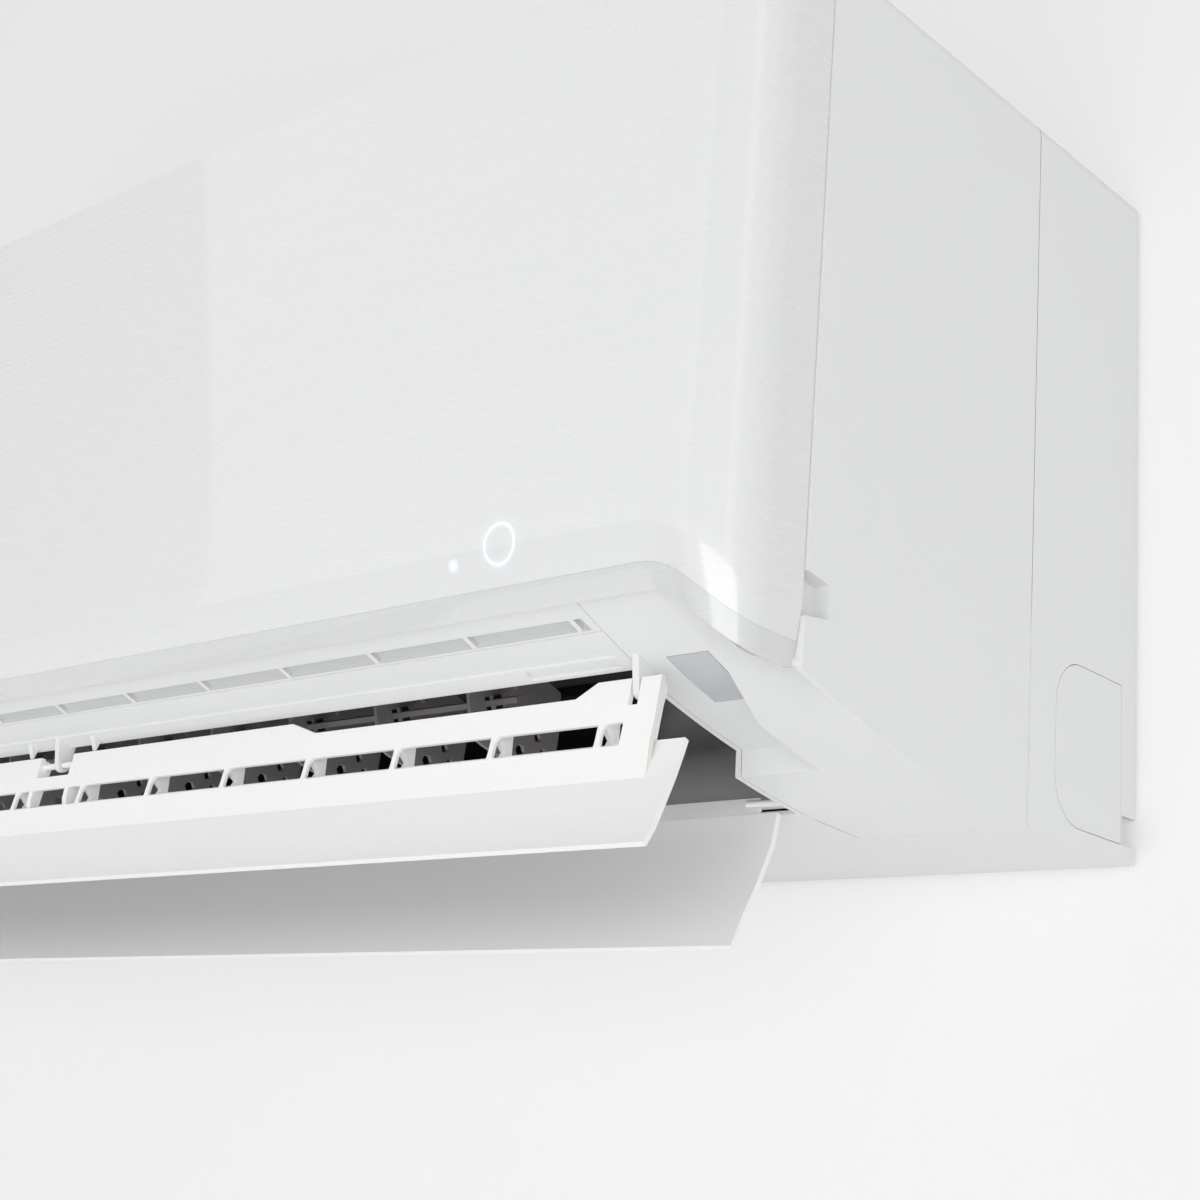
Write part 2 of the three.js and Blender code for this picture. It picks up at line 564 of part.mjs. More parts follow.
// hinge lug hanging from the trim above the upper louvre
function louvreLug(x0, x1) {
  const [y, z] = UPPER_PIVOT;
  const root = seatLine(y) + 2;
  const outline = new THREE.Shape();
  outline.moveTo(y - 5, root + 1);
  outline.lineTo(y - 3.2, z);
  outline.absarc(y, z, 3.2, Math.PI, 2 * Math.PI, false);
  outline.lineTo(y + 5, root - 1.5);
  return alongX(outline, x0, x1, [circle(y, z, LOUVRE_PIN + PIN_CLEAR)], 5);
}

function fingerRecess() {
  const { front, rear, bottom, top, depth } = FINGER;
  const outline = [[front - 1, bottom], [rear, bottom + 2], [rear, top - 2], [front - 1, top]];
  return alongX(outline, half - depth, half + 1);
}

function casingWalls() {
  const front = PANEL_REAR_Y + GAP;
  const shell = hood(front, SEAM_Y - GAP).intersect(alongX(sideOutline(front, SEAM_Y - GAP), -half, half));
  const { rear, bottom, top, depth } = FINGER;
  const pocket = block(half - depth - WALL, half - 1, front, rear + WALL, bottom - WALL, top + WALL);
  const flange = block(FRAME_HALF - WALL, half - 1, front, front + WALL, 20, PANEL_PIVOT[1] - 4);
  const post = block(FRAME_HALF - WALL, FRAME_HALF, FRAME_FRONT_Y, front + WALL, 20, BEAM_Z);
  const plate = block(CAP_INNER + 1.2, FRAME_HALF, FRAME_FRONT_Y, FRAME_FRONT_Y + WALL, 20, BEAM_Z);
  const aboveSkin = sheet(capSurface((x, y) => skinHeight(x, y) + 1), capSurface(() => HEIGHT));
  const ends = bothEnds(join(pocket, join(flange, post, plate).intersect(aboveSkin)));
  return cut(join(shell, ends), bothEnds(fingerRecess()));
}

function frontFrame() {
  const rear = PANEL_REAR_Y + WALL;
  const edge = CAP_INNER + 1.2;
  const cheeks = bothEnds(block(edge, edge + WALL, FRAME_FRONT_Y, STRIP_REAR_Y - 1, SHELF_Z - 4, BEAM_Z));
  const beam = block(-FRAME_HALF, FRAME_HALF, FRAME_FRONT_Y, rear, BEAM_Z - WALL, BEAM_Z);
  const brow = block(-FRAME_HALF, FRAME_HALF, PANEL_REAR_Y - 1, rear, BEAM_Z - WALL, HEIGHT - 1);
  const sillZ = seatLine(FRAME_FRONT_Y) + STRIP_WALL + 0.4;
  const sill = block(-edge - 1, edge + 1, FRAME_FRONT_Y, FRAME_FRONT_Y + WALL, sillZ, SHELF_Z);
  const shelf = block(-edge - 1, edge + 1, FRAME_FRONT_Y, PAN_FRONT_Y - GAP, SHELF_Z - 2, SHELF_Z);
  const post = block(-3, 3, FRAME_FRONT_Y, FRAME_FRONT_Y + WALL, SHELF_Z - 1, BEAM_Z - 1);
  const keeps = bothEnds(block(FILTER.outer + GAP, FILTER.outer + 3, FRAME_FRONT_Y, FILTER.rear + 2,
    SHELF_Z - 1, BEAM_Z - 1));
  const display = block(BUTTON.x - 14, FILTER.outer, FRAME_FRONT_Y, FRAME_FRONT_Y + WALL, SHELF_Z - 1, 88);
  return join(cheeks, beam, brow, sill, shelf, post, keeps, display);
}

function panelHinge() {
  const [y, z] = PANEL_PIVOT;
  const outer = HINGE_X + HINGE_HALF + 1;
  const bracket = block(outer, outer + 4, y - 2.6, PANEL_REAR_Y, BEAM_Z - 1, z + 2.6);
  return join(bracket, rodX(y, z, PANEL_PIN, HINGE_X - HINGE_HALF - 1, outer + 1, 14));
}

function frontCasing() {
  const lug = louvreLug(UPPER_LUG_X - LUG_HALF, UPPER_LUG_X + LUG_HALF);
  const frame = join(casingWalls(), frontFrame(), bothEnds(endCap()), bothEnds(lug), bothEnds(panelHinge()));
  const buttonHole = rodY(BUTTON.x, BUTTON.z, BUTTON.radius + GAP, FRAME_FRONT_Y - 1, FRAME_FRONT_Y + 4);
  const screwHoles = SCREWS.map((x) => rodY(x, SCREW_Z, SCREW_RADIUS + GAP,
    FRAME_FRONT_Y - 1, FRAME_FRONT_Y + 4));
  return cut(frame, grilleSlots(), buttonHole, screwHoles);
}

// ---------- trim strip above the outlet ----------
function trimStrip() {
  const edge = CAP_INNER - GAP;
  const follow = (y0, y1, low, high) => [...steps(y0, y1, 4).map((y) => [y, seatLine(y) + low]),
    ...steps(y1, y0, 4).map((y) => [y, seatLine(y) + high])];
  const band = alongX(follow(STRIP_FRONT_Y, STRIP_REAR_Y, 0, STRIP_WALL), -edge, edge);
  const slot = alongX(follow(SLOT_FRONT_Y, SLOT_REAR_Y, -1, SLOT_DEPTH), -edge + 4, edge - 4);
  const groove = alongX(follow(SLOT_REAR_Y + 10.4, SLOT_REAR_Y + 14.4, -1, 0.8), -edge + 4, edge - 4);
  const line = alongX(follow(SLOT_REAR_Y + 1, SLOT_REAR_Y + 1.6, -1, 0.5), -edge - 1, edge + 1);
  const pocket = alongX(follow(STRIP_REAR_Y - 6, STRIP_REAR_Y - 1.5, -1, 1.2), DUCT_HALF - 48, edge - 6);
  const ribs = range(RIB_COUNT).map((k) => {
    const x = (k - (RIB_COUNT - 1) / 2) * RIB_PITCH;
    return alongX(follow(SLOT_FRONT_Y - 1, SLOT_REAR_Y + 1, 0.2, STRIP_WALL - 0.5),
      x - RIB_WALL / 2, x + RIB_WALL / 2);
  });
  const [barbFront, barbRear] = [STRIP_REAR_Y - 6.5, STRIP_REAR_Y - 1.5];
  const barb = alongX([[barbFront, seatLine(barbFront) + 1], [barbRear - 2, seatLine(barbRear) - 4.6],
    [barbRear, seatLine(barbRear) + 1]], 24, 27);
  return join(cut(band, slot, groove, line, pocket), ribs, louvreLug(-LUG_HALF, LUG_HALF), bothEnds(barb));
}

// ---------- louvres ----------
const UPPER_FACE = behindFront([[41.1, 30.6], [38.8, 14.4], [37.1, 5.8], [36.3, -6.4]]);
const UPPER_BLADE = behindFront([
  [41.5, 7.5], [39.5, 1.7], [36.2, -6.8], [32, -16.1], [27.9, -24.9], [23.8, -31.2]]);
const UPPER_RIB = behindFront([
  [41, 20], [39.8, 14.4], [44.4, 10], [39.6, 1.5], [47, 3], [48, 6], [48, 18.5]]);
const UPPER_ARM = behindFront([
  [40, 24], [38.4, 10], [39.4, 2], [42.6, 4.5], [43.3, 8], [45.5, 20.6], [47, 26]]);

function upperLouvre() {
  const face = alongX(wallAlong(UPPER_FACE, UPPER_SHEET), -UPPER_TAB_HALF, UPPER_TAB_HALF);
  const blade = alongX(wallAlong(UPPER_BLADE, UPPER_SHEET), -UPPER_HALF, UPPER_HALF);
  const [ahead, behind] = [30 - DEPTH, 50 - DEPTH];
  const window = block(-UPPER_WINDOW_HALF, UPPER_WINDOW_HALF, ahead, behind, 5.8, 14.4);
  const [d0, d1, d2, d3] = UPPER_DIP.map((distance) => DUCT_HALF - distance);
  const dip = alongY([[d0, 33], [d1, 25.3], [d2, 25.3], [d3, 33]], ahead, behind);
  const notches = [0, -UPPER_LUG_X, UPPER_LUG_X].map((x) => {
    const reach = x === 0 ? UPPER_NOTCH : LUG_HALF + 0.7;
    return block(x - reach, x + reach, 35 - DEPTH, STRIP_REAR_Y, 20.6, 33);
  });
  const ribs = range(RIB_COUNT).map((k) => {
    const x = (k - (RIB_COUNT - 1) / 2) * RIB_PITCH;
    return alongX(UPPER_RIB, x - RIB_WALL / 2, x + RIB_WALL / 2);
  });
  const sheetBody = cut(join(cut(face, window), blade), bothEnds(dip), notches);
  const knuckle = (x0, x1) => join(alongX(UPPER_ARM, x0, x1), rodX(...UPPER_PIVOT, 2.9, x0, x1, 14));
  const ends = join(knuckle(UPPER_LUG_X + LUG_HALF + 0.8, UPPER_TAB_HALF - 2),
    rodX(...UPPER_PIVOT, LOUVRE_PIN, UPPER_LUG_X - LUG_HALF - 0.4, UPPER_TAB_HALF - 4, 12));
  const centre = join(knuckle(UPPER_NOTCH, UPPER_NOTCH + 3),
    rodX(...UPPER_PIVOT, LOUVRE_PIN, -1, UPPER_NOTCH + 1, 12));
  return join(sheetBody, ribs, bothEnds(ends), bothEnds(centre));
}

const LOWER_NECK = [[-129.6, 8.6], [-131.5, 2.3], [-132.2, 0]];
const LOWER_BLADE = [[-131.8, 1.8], [-134.6, -11.1], [-142.4, -27.4], [-149.3, -39.5], [-155.4, -51.9]];

function lowerLouvre() {
  const neck = alongX(wallAlong(LOWER_NECK, LOWER_SHEET), -LOWER_NECK_HALF, LOWER_NECK_HALF);
  const blade = alongX(wallAlong(LOWER_BLADE, LOWER_SHEET), -LOWER_HALF, LOWER_HALF);
  const pin = rodX(...LOWER_PIVOT, LOUVRE_PIN, LOWER_NECK_HALF - 6, DUCT_HALF + WALL - 0.7, 12);
  return join(neck, blade, bothEnds(pin));
}

// ---------- duct ceiling, drain pan and vanes ----------
const slope = Math.atan2(CEILING_REAR[1] - CEILING_FRONT[1], CEILING_REAR[0] - CEILING_FRONT[0]);
const ceilingZ = (y) => CEILING_FRONT[1] + (y - CEILING_FRONT[0]) * Math.tan(slope);
const alongCeiling = [Math.cos(slope), Math.sin(slope)];
const awayFromDuct = [-Math.sin(slope), Math.cos(slope)];
const vaneFoot = [VANE_PIVOT_Y, ceilingZ(VANE_PIVOT_Y)];
const ceilingPoint = (along, away) => [
  vaneFoot[0] + along * alongCeiling[0] + away * awayFromDuct[0],
  vaneFoot[1] + along * alongCeiling[1] + away * awayFromDuct[1]];
const vaneX = (index) => VANE_LAST_X - index * VANE_PITCH;

// a pin square to the duct's ceiling, measured along it from the vane pivot
function ceilingPin(x, along, radius, from, to, sides) {
  const [y, z] = ceilingPoint(along, (from + to) / 2);
  const geometry = new THREE.CylinderGeometry(radius, radius, to - from, sides);
  return solid(geometry.rotateX(Math.PI / 2 + slope).translate(x, y, z));
}

function drainPan() {
  const edge = DUCT_HALF - GAP;
  const trough = [[-168.5, 69], [-184, 66], ...behindFront([[46, 62], [41, 64], [41, 84]])];
  const outline = [CEILING_FRONT, CEILING_REAR, [-163, 96], [-165.5, 97],
    ...trough, [PAN_FRONT_Y, 84], [PAN_FRONT_Y, 56], ...behindFront([[45.5, 42]])];
  const pockets = VANE_MOTORS.map((x) => block(x - 15, x + 15, 30 - DEPTH, 74 - DEPTH, 47, 60));
  const holes = range(VANE_COUNT).map((k) => ceilingPin(vaneX(k), 0, VANE_PIN + PIN_CLEAR, -3, 5.6, 10));
  return cut(alongX(outline, -edge, edge), pockets, holes);
}

const vaneMotor = (x) => join(block(x - 14, x + 14, 48 - DEPTH, 73.7 - DEPTH, 47.3, 59.7),
  block(x - 5, x + 5, 46 - DEPTH, 49 - DEPTH, 50, 56));

function vane(index) {
  const x = vaneX(index);
  const shape = new THREE.Shape();
  shape.moveTo(...ceilingPoint(-27, -1.6));
  shape.lineTo(-190.5, 34);
  shape.quadraticCurveTo(-190, 27.6, -183, 26.4);
  shape.lineTo(-166, 22);
  shape.lineTo(-145, 18.6);
  shape.quadraticCurveTo(-141.5, 18.4, -141, 22);
  shape.lineTo(-139, 46);
  shape.lineTo(-140.5, 58);
  shape.lineTo(...ceilingPoint(13, -1.6));
  const [linkY, linkZ] = ceilingPoint(-LINK_OFFSET, -LINK_DROP);
  const corner = (a, b) => [linkY + a * alongCeiling[0] + b * awayFromDuct[0],
    linkZ + a * alongCeiling[1] + b * awayFromDuct[1]];
  const window = [corner(-5, -3), corner(6.4, -3), corner(6.4, 3), corner(-5, 3)];
  const holes = [window, circle(-161.5, 28.5, 2.9), circle(-152, 36, 2.1), circle(-148, 30.4, 2.1)];
  const plate = alongX(shape, x - VANE_WALL / 2, x + VANE_WALL / 2, holes, 3);
  const pivot = ceilingPin(x, 0, VANE_PIN, -8, 5.3, 8);
  const linkPin = ceilingPin(x, -LINK_OFFSET, LINK_PIN, -LINK_DROP - 4, -LINK_DROP + 4, 6);
  return join(plate, pivot, linkPin);
}

// bar that joins the vanes of one group, slotted for their link pins
function linkBar(first, last) {
  const x0 = vaneX(last) - 16;
  const x1 = vaneX(first) + 16;
  const [linkY, linkZ] = ceilingPoint(-LINK_OFFSET + 1, -LINK_DROP);
  const corner = (a, b) => [linkY + a * alongCeiling[0] + b * awayFromDuct[0],
    linkZ + a * alongCeiling[1] + b * awayFromDuct[1]];
  const flat = (a0, a1, b0, b1) => [corner(a0, b0), corner(a1, b0), corner(a1, b1), corner(a0, b1)];
  const bar = alongX(flat(-3.4, 3.4, -LINK_WALL / 2, LINK_WALL / 2), x0, x1);
  const slots = range(last - first + 1).map((k) => {
    const x = vaneX(first + k);
    return alongX(flat(-2.4, 2.4, -4, 4), x - LINK_PIN - 0.35, x + LINK_PIN + 0.35);
  });
  return cut(bar, slots);
}

// ---------- fan ----------
function crossflowFan() {
  const discs = range(FAN_DISCS).map((k) => {
    const x = -FAN_HALF + k * (2 * FAN_HALF - 3) / (FAN_DISCS - 1);
    const end = k === 0 || k === FAN_DISCS - 1;
    const bore = circle(FAN_Y, FAN_Z, end ? SHAFT_RADIUS + GAP : FAN_RADIUS - 15);
    return alongX(circle(FAN_Y, FAN_Z, FAN_RADIUS), x, x + 3, [bore], 9);
  });
  const blades = range(FAN_BLADES).map((k) => {
    const spin = 2 * Math.PI * k / FAN_BLADES;
    const point = (r, turn) => [FAN_Y + r * Math.cos(spin + turn), FAN_Z + r * Math.sin(spin + turn)];
    const outline = [point(46.6, 0), point(41, 0.09), point(35.4, 0.04), point(41, 0.13)];
    return alongX(outline, -FAN_HALF + 1, FAN_HALF - 1);
  });
  return join(discs, blades);
}

const bearingHousing = () => cut(
  join(rodX(FAN_Y, FAN_Z, BEARING_RADIUS - GAP, -DUCT_HALF - WALL - 4, -DUCT_HALF + 2, 16),
    rodX(FAN_Y, FAN_Z, BEARING_RADIUS + 4, -DUCT_HALF - WALL - 4, -DUCT_HALF - WALL - GAP, 16)),
  rodX(FAN_Y, FAN_Z, SHAFT_RADIUS + GAP, -DUCT_HALF - 20, -DUCT_HALF + 20, 14));

function fanMotor() {
  const { radius, x0, x1 } = MOTOR;
  const can = join(rodX(FAN_Y, FAN_Z, radius, x0, x1 - 6, 20), rodX(FAN_Y, FAN_Z, radius - 6, x0 + 1, x1, 20),
    rodX(FAN_Y, FAN_Z, 12, x0 + 1, x1 + 5, 14));
  return cut(can, rodX(FAN_Y, FAN_Z, SHAFT_RADIUS + GAP, x0 - 1, x0 + 12, 14));
}

function motorBracket() {
  const { radius, x0, x1 } = MOTOR;
  const bore = radius + 0.9;
  const sleeve = alongX(circle(FAN_Y, FAN_Z, bore + 2.5), x0 - 1, x1 - 12, [circle(FAN_Y, FAN_Z, bore)], 9);
  const wallX = DUCT_HALF + WALL + GAP;
  const plate = alongX(circle(FAN_Y, FAN_Z, bore + 2.5), wallX, x0 - GAP, [circle(FAN_Y, FAN_Z, 18)], 9);
  const slit = block(wallX - 1, x1, FAN_Y - 4, FAN_Y + 4, FAN_Z + radius - 2, FAN_Z + radius + 5);
  return cut(join(sleeve, plate), slit);
}

// ---------- coils ----------
function coil([start, end]) {
  const length = Math.hypot(end[0] - start[0], end[1] - start[1]);
  const way = [(end[0] - start[0]) / length, (end[1] - start[1]) / length];
  const side = [way[1], -way[0]];
  const at = (along, across) => [
    start[0] + way[0] * along + side[0] * across, start[1] + way[1] * along + side[1] * across];
  const depth = COIL_THICK / 2;
  const slab = (a0, a1, c0, c1, x0, x1) => alongX([at(a0, c0), at(a1, c0), at(a1, c1), at(a0, c1)], x0, x1);
  const fins = slab(0, length, -depth, depth, -COIL_HALF, COIL_HALF);
  const grooves = range(5).map((k) => {
    const x = (k - 2) * 2 * COIL_HALF / 6;
    return [slab(-1, length + 1, depth - 1, depth + 1, x - 1, x + 1),
      slab(-1, length + 1, -depth - 1, -depth + 1, x - 1, x + 1)];
  });
  const tabs = bothEnds(join(slab(2, 5, -depth, depth, COIL_HALF - 1, DUCT_HALF - GAP),
    slab(length - 5, length - 2, -depth, depth, COIL_HALF - 1, DUCT_HALF - GAP)));
  const bends = range(Math.floor((length - 14) / (2 * TUBE_PITCH) + 0.5)).map((k) => {
    const [y0, z0] = at(12 + 2 * k * TUBE_PITCH, 0);
    const [y1, z1] = at(12 + (2 * k + 1) * TUBE_PITCH, 0);
    const out = COIL_HALF + TUBE_PITCH * 0.62;
    const ends = [[COIL_HALF - 1, y0, z0], [out, y0, z0], [out, y1, z1], [COIL_HALF - 1, y1, z1]];
    const line = new THREE.CubicBezierCurve3(...ends.map((end) => new THREE.Vector3(...end)));
    return solid(new THREE.ExtrudeGeometry(circle(0, 0, TUBE_RADIUS),
      { steps: 4, extrudePath: line, curveSegments: 3, bevelEnabled: false }));
  });
  return join(cut(fins, grooves.flat()), tabs, bends);
}

// ---------- electrics ----------
const BOX = {
  x0: CAP_INNER, x1: half - 13.5, y0: 49 - DEPTH, y1: FAN_Y - MOTOR.radius - 6,
  z0: 84, z1: HEIGHT - 46, wall: 2,
};

function electricalBox() {
  const { x0, x1, y0, y1, z0, z1, wall } = BOX;
  const cable = rodX(y1 - 18, z0 + 20, 6, x0 - 1, x0 + 4, 14);
  const inside = block(x0 + wall, x1 - wall, y0 - 1, y1 - wall, z0 + wall, z1 - wall);
  return cut(block(x0, x1, y0, y1, z0, z1), inside, cable);
}

function electricalCover() {
  const { x0, x1, y0, z0, z1 } = BOX;
  const bosses = [z0 + 30, z1 - 30].map((z) => block(x0 + 20, x1 - 20, y0 - 3.4, y0 - 2, z - 5, z + 5));
  return join(block(x0 + 1, x1, y0 - GAP - 2, y0 - GAP, z0, z1), bosses);
}

function controlBoard() {
  const { x0, x1, y0, y1, z0, z1, wall } = BOX;
  const plane = y1 - 12;
  const rise = z1 - 48 - z0;
  const board = block(x0 + wall + GAP, x1 - wall - GAP, plane - 1.6, plane, z0 + wall + GAP, z0 + rise);
  const parts = [
    [8, 0.17, 18, 26, 12], [34, 0.12, 14, 20, 16], [12, 0.51, 30, 14, 10], [32, 0.75, 16, 16, 14]];
  const blocks = parts.map(([x, share, w, h, d]) => block(x0 + x, x0 + x + w, plane - 1 - d, plane - 1,
    z0 + share * rise, z0 + share * rise + h));
  const can = rodY(x0 + 18, z0 + 0.83 * rise, 7, plane - (plane - y0) * 0.55, plane - 1, 16);
  return join(board, blocks, can);
}

function terminalBlock() {
  const { x0, y1, z1, wall } = BOX;
  const rear = y1 - wall - GAP;
  const base = block(x0 + 6, x0 + 54, rear - 18, rear, z1 - 40, z1 - 16);
  const bays = range(4).map((k) => block(x0 + 8 + k * 11.5, x0 + 17.5 + k * 11.5,
    rear - 20, rear - 12, z1 - 37, z1 - 19));
  const screws = range(4).map((k) => rodY(x0 + 12.75 + k * 11.5, z1 - 28, 3, rear - 15, rear - 11, 10));
  return join(cut(base, bays), screws);
}

const displayBoard = () => block(RING.x - 38, RING.x + 20,
  FRAME_FRONT_Y - GAP - 1.6, FRAME_FRONT_Y - GAP, 60, 86);
const BOARD_FACE_Y = FRAME_FRONT_Y - 2 * GAP - 1.6;
const lightRing = () => cut(rodY(RING.x, RING.z, RING.radius, RING.front, BOARD_FACE_Y, 24),
  rodY(RING.x, RING.z, RING.bore, RING.front - 1, BOARD_FACE_Y + 1, 24));
const modeIndicator = () => rodY(DOT.x, DOT.z, DOT.radius, RING.front, BOARD_FACE_Y, 20);

function autoButton() {
  const front = FRAME_FRONT_Y - 5;
  return join(rodY(BUTTON.x, BUTTON.z, BUTTON.radius, front, FRAME_FRONT_Y + WALL + 3, 14),
    rodY(BUTTON.x, BUTTON.z, BUTTON.radius + 1.6, FRAME_FRONT_Y + WALL + GAP, FRAME_FRONT_Y + WALL + 2, 14));
}

const louvreMotor = (y, z) => join(rodX(y, z, 13, DUCT_HALF + WALL + GAP, DUCT_HALF + WALL + 18, 18),
  block(DUCT_HALF + WALL + GAP, DUCT_HALF + WALL + 2, y - 17, y + 17, z - 4, z + 4));

const screw = (x) => join(rodY(x, SCREW_Z, SCREW_RADIUS, FRAME_FRONT_Y - 1.5, FRAME_FRONT_Y + 14, 12),
  rodY(x, SCREW_Z, SCREW_RADIUS + 2, FRAME_FRONT_Y - GAP - 2, FRAME_FRONT_Y - GAP, 12));

// ---------- air filters ----------
function airFilter() {
  const { inner, outer, rear, wall, bottom, top } = FILTER;
  const frame = block(inner, outer, rear - wall, rear, bottom, top);
  const width = (outer - inner - 4 * 5) / 3;
  const height = (top - bottom - 3 * 4) / 2;
  const windows = range(3).flatMap((i) => range(2).map((j) => {
    const x = inner + 5 + i * (width + 5);
    const z = bottom + 4 + j * (height + 4);
    return [block(x, x + width, rear - wall - 1, rear - wall + 0.7, z, z + height),
      block(x, x + width, rear - 0.7, rear + 1, z, z + height)];
  }));
  const middle = (inner + outer) / 2;
  const grip = block(middle - 20, middle + 20, rear - wall - 3, rear - wall + 1, bottom, bottom + 3);
  return join(cut(frame, windows.flat()), grip);
}

// ---------- front panel ----------
function frontPanel() {
  const rises = [0, ...BACKING_RISES];
  const skin = sheet(panelGrid(0, rises, PANEL_TOP_Z), panelGrid(PANEL_WALL, rises, PANEL_TOP_Z));
  const flange = alongZ(planLine(0), PANEL_TOP_Z - 3, PANEL_TOP_Z)
    .intersect(block(-half, half, -DEPTH, PANEL_FLANGE_Y, PANEL_TOP_Z - 90, PANEL_TOP_Z + 10));
  const [pivotY, pivotZ] = PANEL_PIVOT;
  const shoulder = block(-half, half, pivotY - 2, 0, pivotZ, PANEL_TOP_Z + 1);
  return cut(join(skin, flange), shoulder);
}

const panelBacking = () => {
  const inset = PANEL_WALL + BACKING_GAP;
  const top = PANEL_TOP_Z - PANEL_WALL - GAP;
  return sheet(panelGrid(inset, BACKING_RISES, top), panelGrid(inset + BACKING_WALL, BACKING_RISES, top));
};

function hingeArm() {
  const [y, z] = PANEL_PIVOT;
  const top = PANEL_TOP_Z - 3 - GAP;
  const outline = new THREE.Shape();
  outline.moveTo(y - 24, top);
  outline.lineTo(y - 24, top - 5);
  outline.lineTo(y, z - 4);
  outline.absarc(y, z, 4, -Math.PI / 2, Math.PI / 2, false);
  outline.lineTo(PANEL_FLANGE_Y + GAP, z + 4);
  outline.lineTo(PANEL_FLANGE_Y + GAP, top);
  const bore = circle(y, z, PANEL_PIN + PIN_CLEAR);
  return alongX(outline, HINGE_X - HINGE_HALF, HINGE_X + HINGE_HALF, [bore], 5);
}

// ---------- assembly ----------
const PARTS = [
  ['mounting_plate', mountingPlate, STEEL], ['rear_chassis', rearChassis, WHITE],
  ['pipe_port_cover_right', portCover, WHITE], ['pipe_port_cover_left', () => mirrored(portCover()), WHITE],
  ['front_casing', frontCasing, WHITE], ['outlet_trim_strip', trimStrip, WHITE],
  ['receiver_window', receiverWindow, GREY], ['drain_pan', drainPan, DARK],
  ['coil_front_lower', () => coil(COILS.frontLower), ALUMINIUM],
  ['coil_front_upper', () => coil(COILS.frontUpper), ALUMINIUM],
  ['coil_rear', () => coil(COILS.rear), ALUMINIUM],
  ['gas_pipe', () => pipe(PIPE_END_X, PIPES[0].z, PIPES[0].radius, PIPE_RUN_X, 8), COPPER],
  ['liquid_pipe', () => pipe(PIPE_END_X, PIPES[1].z, PIPES[1].radius, PIPE_RUN_X, 6), COPPER],
  ['gas_flare_nut', () => flareNut(PIPES[0]), BRASS], ['liquid_flare_nut', () => flareNut(PIPES[1]), BRASS],
  ['drain_hose', drainHose, WHITE], ['crossflow_fan', crossflowFan, DARK],
  ['fan_shaft', () => rodX(FAN_Y, FAN_Z, SHAFT_RADIUS, -DUCT_HALF - WALL - 2, -FAN_HALF + 8, 14), STEEL],
  ['motor_shaft', () => rodX(FAN_Y, FAN_Z, SHAFT_RADIUS, FAN_HALF - 8, MOTOR.x0 + 11, 14), STEEL],
  ['fan_bearing_housing', bearingHousing, DARK], ['fan_motor', fanMotor, STEEL],
  ['motor_bracket', motorBracket, WHITE],
  ['electrical_box', electricalBox, WHITE], ['electrical_cover', electricalCover, WHITE],
  ['control_board', controlBoard, BOARD], ['terminal_block', terminalBlock, DARK],
  ['display_board', displayBoard, BOARD], ['light_ring', lightRing, GLOSS],
  ['mode_indicator', modeIndicator, GLOSS],
  ['auto_button', autoButton, GLOSS],
  ['upper_louver_motor', () => mirrored(louvreMotor(66 - DEPTH, 60)), STEEL],
  ['lower_louver_motor', () => louvreMotor(-134, 26), STEEL],
  ['vane_motor_left', () => vaneMotor(VANE_MOTORS[0]), STEEL],
  ['vane_motor_right', () => vaneMotor(VANE_MOTORS[1]), STEEL],
  ...SCREWS.map((x, k) => [`casing_screw_${k + 1}`, () => screw(x), STEEL]),
  ['air_filter_right', airFilter, DARK], ['air_filter_left', () => mirrored(airFilter()), DARK],
  ['front_panel', frontPanel, GLOSS], ['panel_backing', panelBacking, WHITE],
  ['panel_hinge_arm_right', hingeArm, WHITE], ['panel_hinge_arm_left', () => mirrored(hingeArm()), WHITE],
  ['upper_louver', upperLouvre, WHITE], ['lower_louver', lowerLouvre, WHITE],
  ...range(VANE_COUNT).map((k) => [`vane_${k + 1}`, () => vane(k), DARK]),
  ['link_bar_right', () => linkBar(0, 4), DARK], ['link_bar_left', () => linkBar(5, 9), DARK],
];

const group = new THREE.Group();
for (const [name, make, material] of PARTS) {
  const mesh = new THREE.Mesh(geometryOf(make()), material());
  mesh.name = name;
  group.add(mesh);
}
group.position.z = -(PLATE_BOTTOM + PLATE_TOP) / 2;
export default group;
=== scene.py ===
import json
import math
import bpy
import bmesh
from mathutils import Matrix, Vector


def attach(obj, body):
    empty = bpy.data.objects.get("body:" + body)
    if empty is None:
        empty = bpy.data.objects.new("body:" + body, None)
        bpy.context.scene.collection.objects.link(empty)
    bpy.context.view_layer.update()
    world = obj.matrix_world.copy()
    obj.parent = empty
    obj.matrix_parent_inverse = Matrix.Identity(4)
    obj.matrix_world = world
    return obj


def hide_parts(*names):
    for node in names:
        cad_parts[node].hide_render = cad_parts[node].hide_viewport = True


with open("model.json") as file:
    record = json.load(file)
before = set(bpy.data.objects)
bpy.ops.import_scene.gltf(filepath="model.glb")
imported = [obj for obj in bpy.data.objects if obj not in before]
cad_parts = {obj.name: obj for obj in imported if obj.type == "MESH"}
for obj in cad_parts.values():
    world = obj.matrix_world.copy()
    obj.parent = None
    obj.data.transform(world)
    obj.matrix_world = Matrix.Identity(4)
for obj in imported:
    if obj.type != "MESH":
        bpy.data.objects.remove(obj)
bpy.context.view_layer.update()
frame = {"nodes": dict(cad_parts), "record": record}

nodes = frame["nodes"]
record = frame["record"]
BODY_OF = {node: body for body, names in record["behaviour"]["bodies"].items() for node in names}

# Lengths below are millimetres, except in modifiers, materials and the stage, which take metres.
# Heights are counted from the unit's rear bottom edge, which lies 180 mm below the scene's origin.
LIFT = -180.0
MM = 0.001


def place(x, y, z):
    return Vector((x / 1000, y / 1000, (z + LIFT) / 1000))


